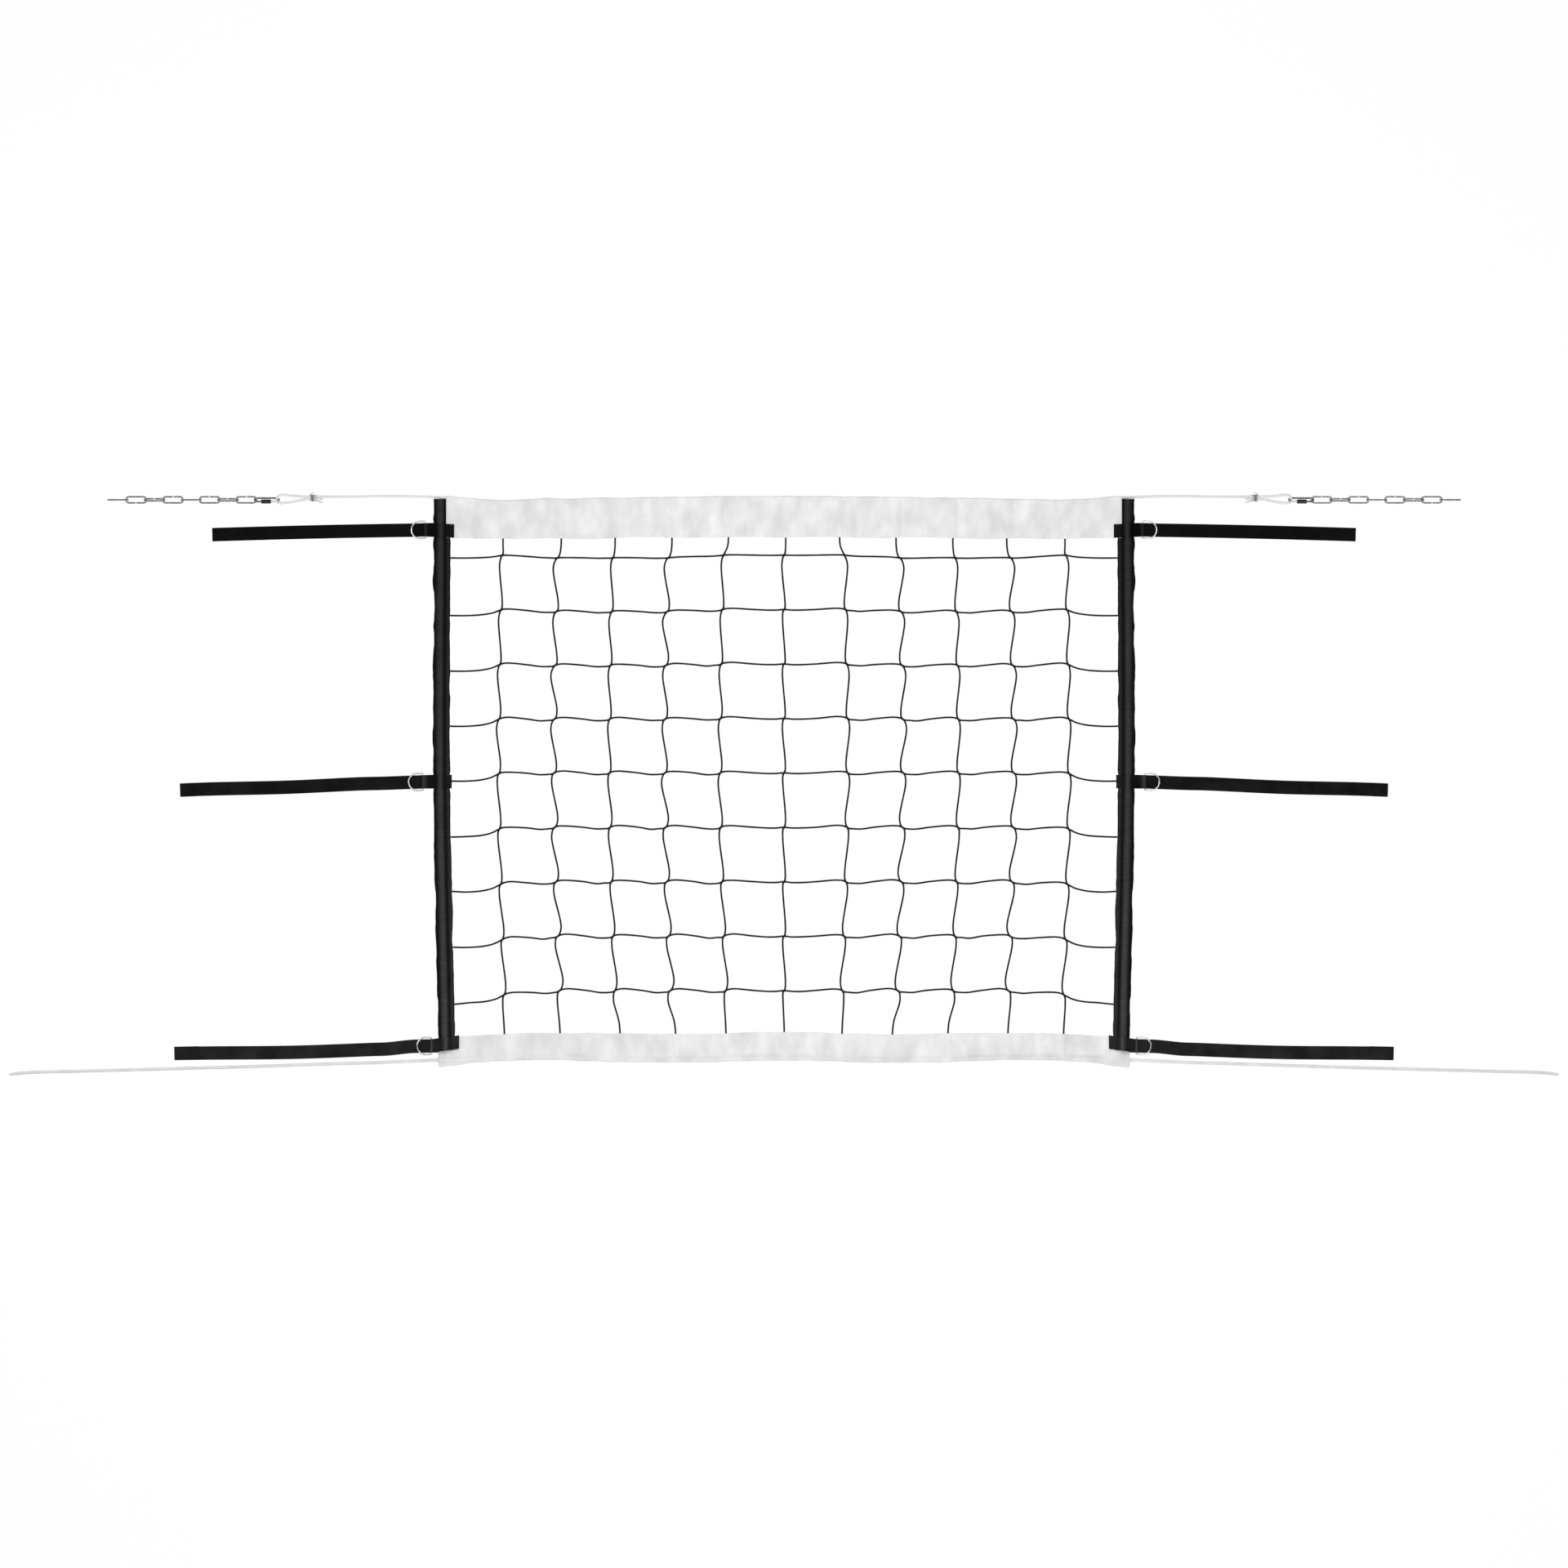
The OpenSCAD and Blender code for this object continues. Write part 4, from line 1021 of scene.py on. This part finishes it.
def tab_webbing(line, k):
    """The tab's webbing, paler at its foot, with a painted highlight over the dowel and where it turns round
    the ring's bar.
    """
    name = f"webbing_{TABS[k]}_tab"
    if name in bpy.data.materials:
        return bpy.data.materials[name]
    s = arc(line)
    upper = line[:, 2] > BAR_Z
    ridge = s[np.argmax(line[:, 2])] - 2.2
    turn = s[np.argmin(np.where(upper, np.abs(line[:, 0] - BAR_X[k] - TAB_HIGHLIGHT_OFF[k]), 99))]
    return webbing_material(name, 0.03, [(4, 13, 0.011), (ridge, 4.6, 0.048), (turn, TAB_HIGHLIGHT_W[k], 0.044)])


def sew(build, corners):
    """The stitches of a webbing's end, from corner to corner."""
    for ends in zip(corners, corners[1:]):
        stitches(build, ends, 2.9, 2.2, 0.24)


def tab_piece(side, s, k, sewn):
    path = over_dowel_path(k)
    line = spaced(np.column_stack([path[:, 0], 0 * path[:, 0], path[:, 1]]), 0.8)
    line[:, 1] = line[:, 0] * TAB_SLANT[k]
    build = ribbon(at_side(line, s, TAB_DROP[k]), [s * LEAN, 1, 0], WEB_W, WEB_T)
    piece = outward(build.object(f"{side}_{TABS[k]}_tab_webbing", tab_webbing(line, k)))
    place(piece, "net", "webbing", f"{side}_{TABS[k]}_tab")
    right, left, edge = TAB_FOOT[k] - SEAM_IN, 14.2, WEB_W / 2 - SEAM_IN
    box = [[right, -edge], [right, edge], [left, edge], [left, -edge], [right, -edge]]
    if TABS[k] != "middle":
        box += [[left, edge]]
    foot = TAB_FOOT_Z[k] + WEB_T + 0.05
    sew(sewn, at_side([[x, y + x * TAB_SLANT[k], foot] for x, y in box], s, TAB_DROP[k]))


# For each strap: its sway and its wave to the side, how far up or down it lies from its solid, and how high
# its long and its short wave lift it off the ground, with their phase
STRAP_SWAY = [(0.8, 0.0), (-0.4, 0.7), (-2.4, 0.4)]
STRAP_SHIFT = [0.0, 0.0, -3.2]
STRAP_LIFT = [(1.3, 0.8, 0.3), (1.6, 1.1, 2.1), (1.5, 0.9, 4.0)]
# How far past its hinge a strap is meshed finely, how far in its stitches lie, and the radius of its hem's
# turn
FOLD_L, SEAM_IN, HEM_R = 14.0, 2.2, 0.62


def strap_piece(side, s, k):
    """The strap and its root under the ring, as one length of webbing, meshed finely round the hinge."""
    name, long, back = f"{side}_{TABS[k]}_strap", STRAP_L[k], STRAP_HEM[k]
    c, n = math.cos(STRAP_TURN[k]), math.sin(STRAP_TURN[k])
    root, fold = np.arange(STRAP_X[k] - 8, -5, 3.0), np.arange(-3, FOLD_L + 3.1, 0.8)
    t = np.concatenate([root, fold, np.arange(FOLD_L + 6, long - 1, 3.0), [long]])
    free = smoothstep(t, 30, 90)
    sway, wave = STRAP_SWAY[k]
    off = sway * np.sin(np.clip(t / long, 0, 1) * math.pi) + wave * np.sin(t / 47) * free
    off += STRAP_SHIFT[k] * smoothstep(t, 0, 60)
    high, low, phase = STRAP_LIFT[k]
    flat_from = long - max(back, 12)
    calm = 1 - smoothstep(t, flat_from - 30, flat_from - 4)
    lift = (high * np.sin(t / 61 + phase) ** 2 + low * np.sin(t / 33 + 2 * phase) ** 2) * free * calm
    line = np.column_stack([STRAP_X[k] - t * c, STRAP_Y[k] - t * n + off, WEB_T / 2 + lift])
    if back:
        end = line[-1]
        turn = bend(0, 0, HEM_R, np.linspace(-60, 60, 5))
        loop = [[end[0] - r * c, end[1] - r * n, WEB_T + z] for r, z in turn]
        over = [[end[0] + r * c, end[1] + r * n, 1.5 * WEB_T + 0.04] for r in np.arange(0, back + 0.1, 2.5)]
        line = np.vstack([line[:-1], [end + [0.4, 0, 0]], loop, over])
    lateral = np.diff(at_side([[0, 0, 0], [-n, c, 0]], s), axis=0)[0]
    build = ribbon(at_side(line, s, TAB_DROP[k]), lateral, WEB_W, WEB_T)
    piece = outward(build.object(f"{name}_webbing", WEBBING))
    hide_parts(name)
    hinge = np.array([STRAP_X[k], STRAP_Y[k], WEB_T])
    start, end = at_side([hinge, hinge - [FOLD_L, 0, 0]], s, TAB_DROP[k]) * MM
    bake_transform(piece)
    if back:
        sewn = Build()
        tip = [STRAP_X[k] - long * c, STRAP_Y[k] - long * n + STRAP_SHIFT[k]]
        near, far, edge = 3, back - 2.5, WEB_W / 2 - SEAM_IN
        box = [[near, -edge], [near, edge], [far, edge], [far, -edge]]
        box += [box[0], box[2], box[3], box[1]]
        lid = [[tip[0] + x * c - y * n, tip[1] + x * n + y * c, 2 * WEB_T + 0.1] for x, y in box]
        sew(sewn, at_side(lid, s, TAB_DROP[k]))
        place(sewn.object(f"{name}_stitches", BLACK_THREAD), name, "webbing")


def run(x, y):
    """Points at X and Y, where either can be one number for them all."""
    return np.column_stack(np.broadcast_arrays(x, y))


def flat_line(*parts):
    """One line through all its parts, at a height of 0."""
    p = np.vstack(parts)
    return np.column_stack([p, np.zeros(len(p))])


def ring_line():
    """The ring's wire round its closed D, in the bar's frame."""
    half, leg = RING_R - RING_CORNER, np.linspace(-RING_CORNER, -RING_LEG, 4)
    return flat_line(
        run(0, np.linspace(-half, half, 12)), bend(-RING_CORNER, half, RING_CORNER, np.arange(12, 90, 12)),
        run(leg, RING_R), bend(-RING_LEG, 0, RING_R, np.arange(94, 267, 4)), run(leg[::-1], -RING_R),
        bend(-RING_CORNER, -half, RING_CORNER, np.arange(-90, -8, 12)),
    )


def ring_piece(side, s, k):
    x, y, _ = ring_line().T
    c, n = math.cos(RING_DROP), math.sin(RING_DROP)
    line = np.column_stack([x * c + BAR_X[k], y + BAR_Y[k], x * n + BAR_Z])
    name = f"{side}_{TABS[k]}_ring"
    build = tube(Build(), at_side(line, s, TAB_DROP[k]), RING_WIRE / 2, 20, closed=True)
    place(outward(build.object(f"{name}_wire", NICKEL)), name, "ring", name)


# The sleeve's two seams at X, height and start, and the loose thread ends at X with how far each one runs
SLEEVE_SEAMS = [(11.9, 3.75, SLEEVE_TOP + 2), (17.0, 4.85, 84.0)]
LOOSE_ENDS = [(612.5, -3.2), (609.6, 2.4), (606.8, -1.0), (603.2, -2.6)]
for side, s in SIDES.items():
    sleeve_piece(side, s)
    sewn = Build()
    for k in range(3):
        tab_piece(side, s, k, sewn)
        ring_piece(side, s, k)
        strap_piece(side, s, k)
    for x, height, start in SLEEVE_SEAMS:
        stops = [start]
        for drop in TAB_DROP:
            if drop - 15 > stops[-1]:
                stops += [drop - 15, drop + 15]
        for a, b in zip(stops[0::2], stops[1::2]):
            down = np.arange(a, b, 2.0)
            seam = np.column_stack([x - bow(TOP_Y - down), -down, np.full_like(down, height)])
            stitches(sewn, at_side(seam, s), 4.4, 3.3, 0.27)
    for x, reach in LOOSE_ENDS:
        y = tab_line(x) + np.array([2.2, 0.8, -0.9, -1.9 - 0.2 * abs(reach)])
        x = x + reach * np.array([0, 0.15, 0.5, 1.0])
        z = np.maximum(low_height(x, y), 3.4) + 0.35
        tube(sewn, smooth(np.column_stack([-s * x, y, z]), 0.6), 0.45, 6)
    place(sewn.object(f"{side}_sleeve_seams", BLACK_THREAD), "net", "sleeve")

# ---------------------------------------------------------------- quick links and chains

QUICK_R, QUICK_LEG, QUICK_WIRE, QUICK_ROLL = 6.5, 32.0, 3.5, math.radians(-61)
LINK_R, LINK_LEG, LINK_WIRE, LINK_ROLL, LINKS = 5.625, 25.95, 3.0, 20, 8
LINK_PITCH, SEAM_AT, SEAM_GAP = 33.7, 0.4, 0.5
THREAD_DEPTH, THREAD_PITCH, THREAD_BORE_R, NUT_BEVEL = 0.22, 1.6, 1.83, 1.1
LOOP_AT = HEAD_EXIT + LOOP_END
QUICK_X = LOOP_AT[0] + (HEAD_ROPE_D + QUICK_WIRE) / 2 + 0.3 - QUICK_R - QUICK_LEG / 2
FIRST_X = QUICK_X - QUICK_R - QUICK_LEG / 2 + (QUICK_WIRE + LINK_WIRE) / 2 + 0.25 - LINK_R - LINK_LEG / 2
NUT_L, NUT_AF, NUT_BACK, NUT_GRIP, MOUTH = 18.0, 7.5, 0.18 * QUICK_LEG, 2.0, 6.0
NUT_REST = NUT_BACK + (NUT_L - QUICK_LEG) / 2
MOUTH_AT = NUT_BACK + NUT_GRIP + (MOUTH - QUICK_LEG) / 2


def stadium(r, leg, gap_at, gap):
    """The open wire of a link, from one side of its gap on the -Y leg right round to the other."""
    half = leg / 2
    return flat_line(
        run(np.arange(gap_at + gap / 2, half, 0.7), -r), bend(half, 0, r, np.arange(-90, 91, 6)),
        run(np.linspace(half, -half, 24)[1:-1], r), bend(-half, 0, r, np.arange(90, 271, 6)),
        run(np.arange(-half + 0.7, gap_at - gap / 2 + 0.01, 0.7), -r),
    )


def rolled(p, angle, x, s):
    """A line turned about its own X, and moved to a place X along a side's chain."""
    c, n = math.cos(angle), math.sin(angle)
    x, y, z = p[:, 0] + x, LOOP_AT[1] + c * p[:, 1] - n * p[:, 2], LOOP_AT[2] + n * p[:, 1] + c * p[:, 2]
    return mirrored(np.column_stack([x, y, z]), s)


def thread_radius(local, r, reach):
    """Radius of a wire with a screw thread cut into its -Y leg, up to reach on either side of its middle."""
    a = np.linspace(0, 2 * math.pi, 24, endpoint=False)[None]
    depth = THREAD_DEPTH * (0.5 + 0.5 * np.sign(np.sin(2 * math.pi * local[:, :1] / THREAD_PITCH + a)))
    on = (np.abs(local[:, 0]) < reach) & (local[:, 1] < 0)
    return np.where(on[:, None], r - depth, r)


def nut_piece(quick, s):
    """The hexagon nut: a bored bar whose corners are turned off at both ends."""
    a = np.linspace(0, 2 * math.pi, 72, endpoint=False)
    flat = NUT_AF / 2
    hexagon = flat / np.cos((a + math.pi / 6) % (math.pi / 3) - math.pi / 6)
    half = np.append(np.linspace(0, NUT_BEVEL, 6), np.linspace(NUT_BEVEL, NUT_L / 2, 5)[1:])
    x = np.concatenate([[0], half, (NUT_L - half)[-2::-1], [NUT_L, NUT_L / 2, 0]])
    outer = np.minimum(hexagon, (flat * 0.9 + np.minimum(x, NUT_L - x) * 1.2)[:, None])
    outer[0] = outer[-3:] = THREAD_BORE_R
    along = (x - NUT_L / 2 + NUT_REST)[:, None] + 0 * a
    p = np.stack([along, -QUICK_R + outer * np.cos(a), outer * np.sin(a)], -1)
    p = rolled(p.reshape(-1, 3), QUICK_ROLL, QUICK_X, s).reshape(p.shape)
    nut = Build().grid(p, x, np.linspace(0, 1, 73)).object(f"{quick}_hex_nut", DARK_STEEL)
    place(outward(nut), f"{quick}_nut", "steel", f"{quick}_nut")


for side, s in SIDES.items():
    quick = f"{side}_quick_link"
    fine = spaced(stadium(QUICK_R, QUICK_LEG, MOUTH_AT, MOUTH), 0.35)
    line = rolled(fine, QUICK_ROLL, QUICK_X, s)
    radius = thread_radius(fine, QUICK_WIRE / 2, QUICK_LEG / 2 - 1.5) * round_ends(arc(line), 1, 0.5)[:, None]
    place(outward(tube(Build(), line, radius, 24).object(f"{quick}_wire", STEEL)), quick, "steel", quick)
    nut_piece(quick, s)
    for n in range(1, LINKS + 1):
        turn = 0 if n % 2 else math.radians(90 - LINK_ROLL if n % 4 == 2 else 90)
        local = stadium(LINK_R, LINK_LEG, SEAM_AT * (-1) ** (n // 2), SEAM_GAP)
        # Every seam but that of the last link but one is on the +Y leg
        if n != LINKS - 1:
            local = local * [1, -1, 1]
        line = rolled(spaced(local, 0.9), turn, FIRST_X - (n - 1) * LINK_PITCH, s)
        radius = round_ends(arc(line), LINK_WIRE / 2, 0.6)
        name = f"{side}_chain_link_{n}"
        place(outward(tube(Build(), line, radius, 20).object(f"{name}_wire", ZINC)), name, "zinc", name)

# ---------------------------------------------------------------- floor, light and background

FLOOR_HALF, FLOOR_Z = 9.0, -0.0002
FLOOR_GLOW, GLOW_SHARE, ROOM_GLOW = 1.02, 0.92, 0.29
floor_mesh = bpy.data.meshes.new("floor")
corners = [(x * FLOOR_HALF, y * FLOOR_HALF, FLOOR_Z) for x, y in ((-1, -1), (1, -1), (1, 1), (-1, 1))]
floor_mesh.from_pydata(corners, [], [(0, 1, 2, 3)])
floor = bpy.data.objects.new("floor", floor_mesh)
bpy.context.scene.collection.objects.link(floor)
paper = Nodes("white_paper", (0.95, 0.95, 0.95), 0.9, specular=0.0)
rays = paper.node("LightPath").outputs
seen = paper.math("MAXIMUM", rays["Is Camera Ray"], rays["Is Glossy Ray"])
glow = paper.node("Emission", (1, 1, 1, 1), FLOOR_GLOW).outputs[0]
mix = paper.node("MixShader", paper.math("MULTIPLY", seen, GLOW_SHARE), paper.shader.outputs[0], glow)
paper.put(paper.tree.nodes["Material Output"].inputs[0], mix.outputs[0])
floor_mesh.materials.append(paper.material)

world = bpy.data.worlds.new("studio")
bpy.context.scene.world = world
world.use_nodes = True
room = Tree(world.node_tree)
rays = room.node("LightPath").outputs
seen = room.math("MAXIMUM", rays["Is Camera Ray"], rays["Is Transmission Ray"])
back = world.node_tree.nodes["Background"]
room.put(back.inputs[0], (1, 1, 1, 1))
room.put(back.inputs[1], room.range(seen, ROOM_GLOW, 1.0))


def lamp(name, at, size, watts):
    data = bpy.data.lights.new(name, "AREA")
    data.shape = "RECTANGLE"
    data.size, data.size_y = size
    data.energy = watts
    lamp_object = bpy.data.objects.new(name, data)
    lamp_object.location = at
    lamp_object.rotation_euler = (-Vector(at)).to_track_quat("-Z", "Y").to_euler()
    bpy.context.scene.collection.objects.link(lamp_object)


lamp("middle", (0.06, 0.8, 2.0), (2.2, 1.4), 23)
lamp("left", (-2.6, 0.2, 1.5), (1.0, 1.6), 14)
lamp("right", (2.6, 0.2, 1.5), (1.0, 1.6), 6)
lamp("low", (0.3, -1.6, 2.0), (2.2, 1.2), 23.4)
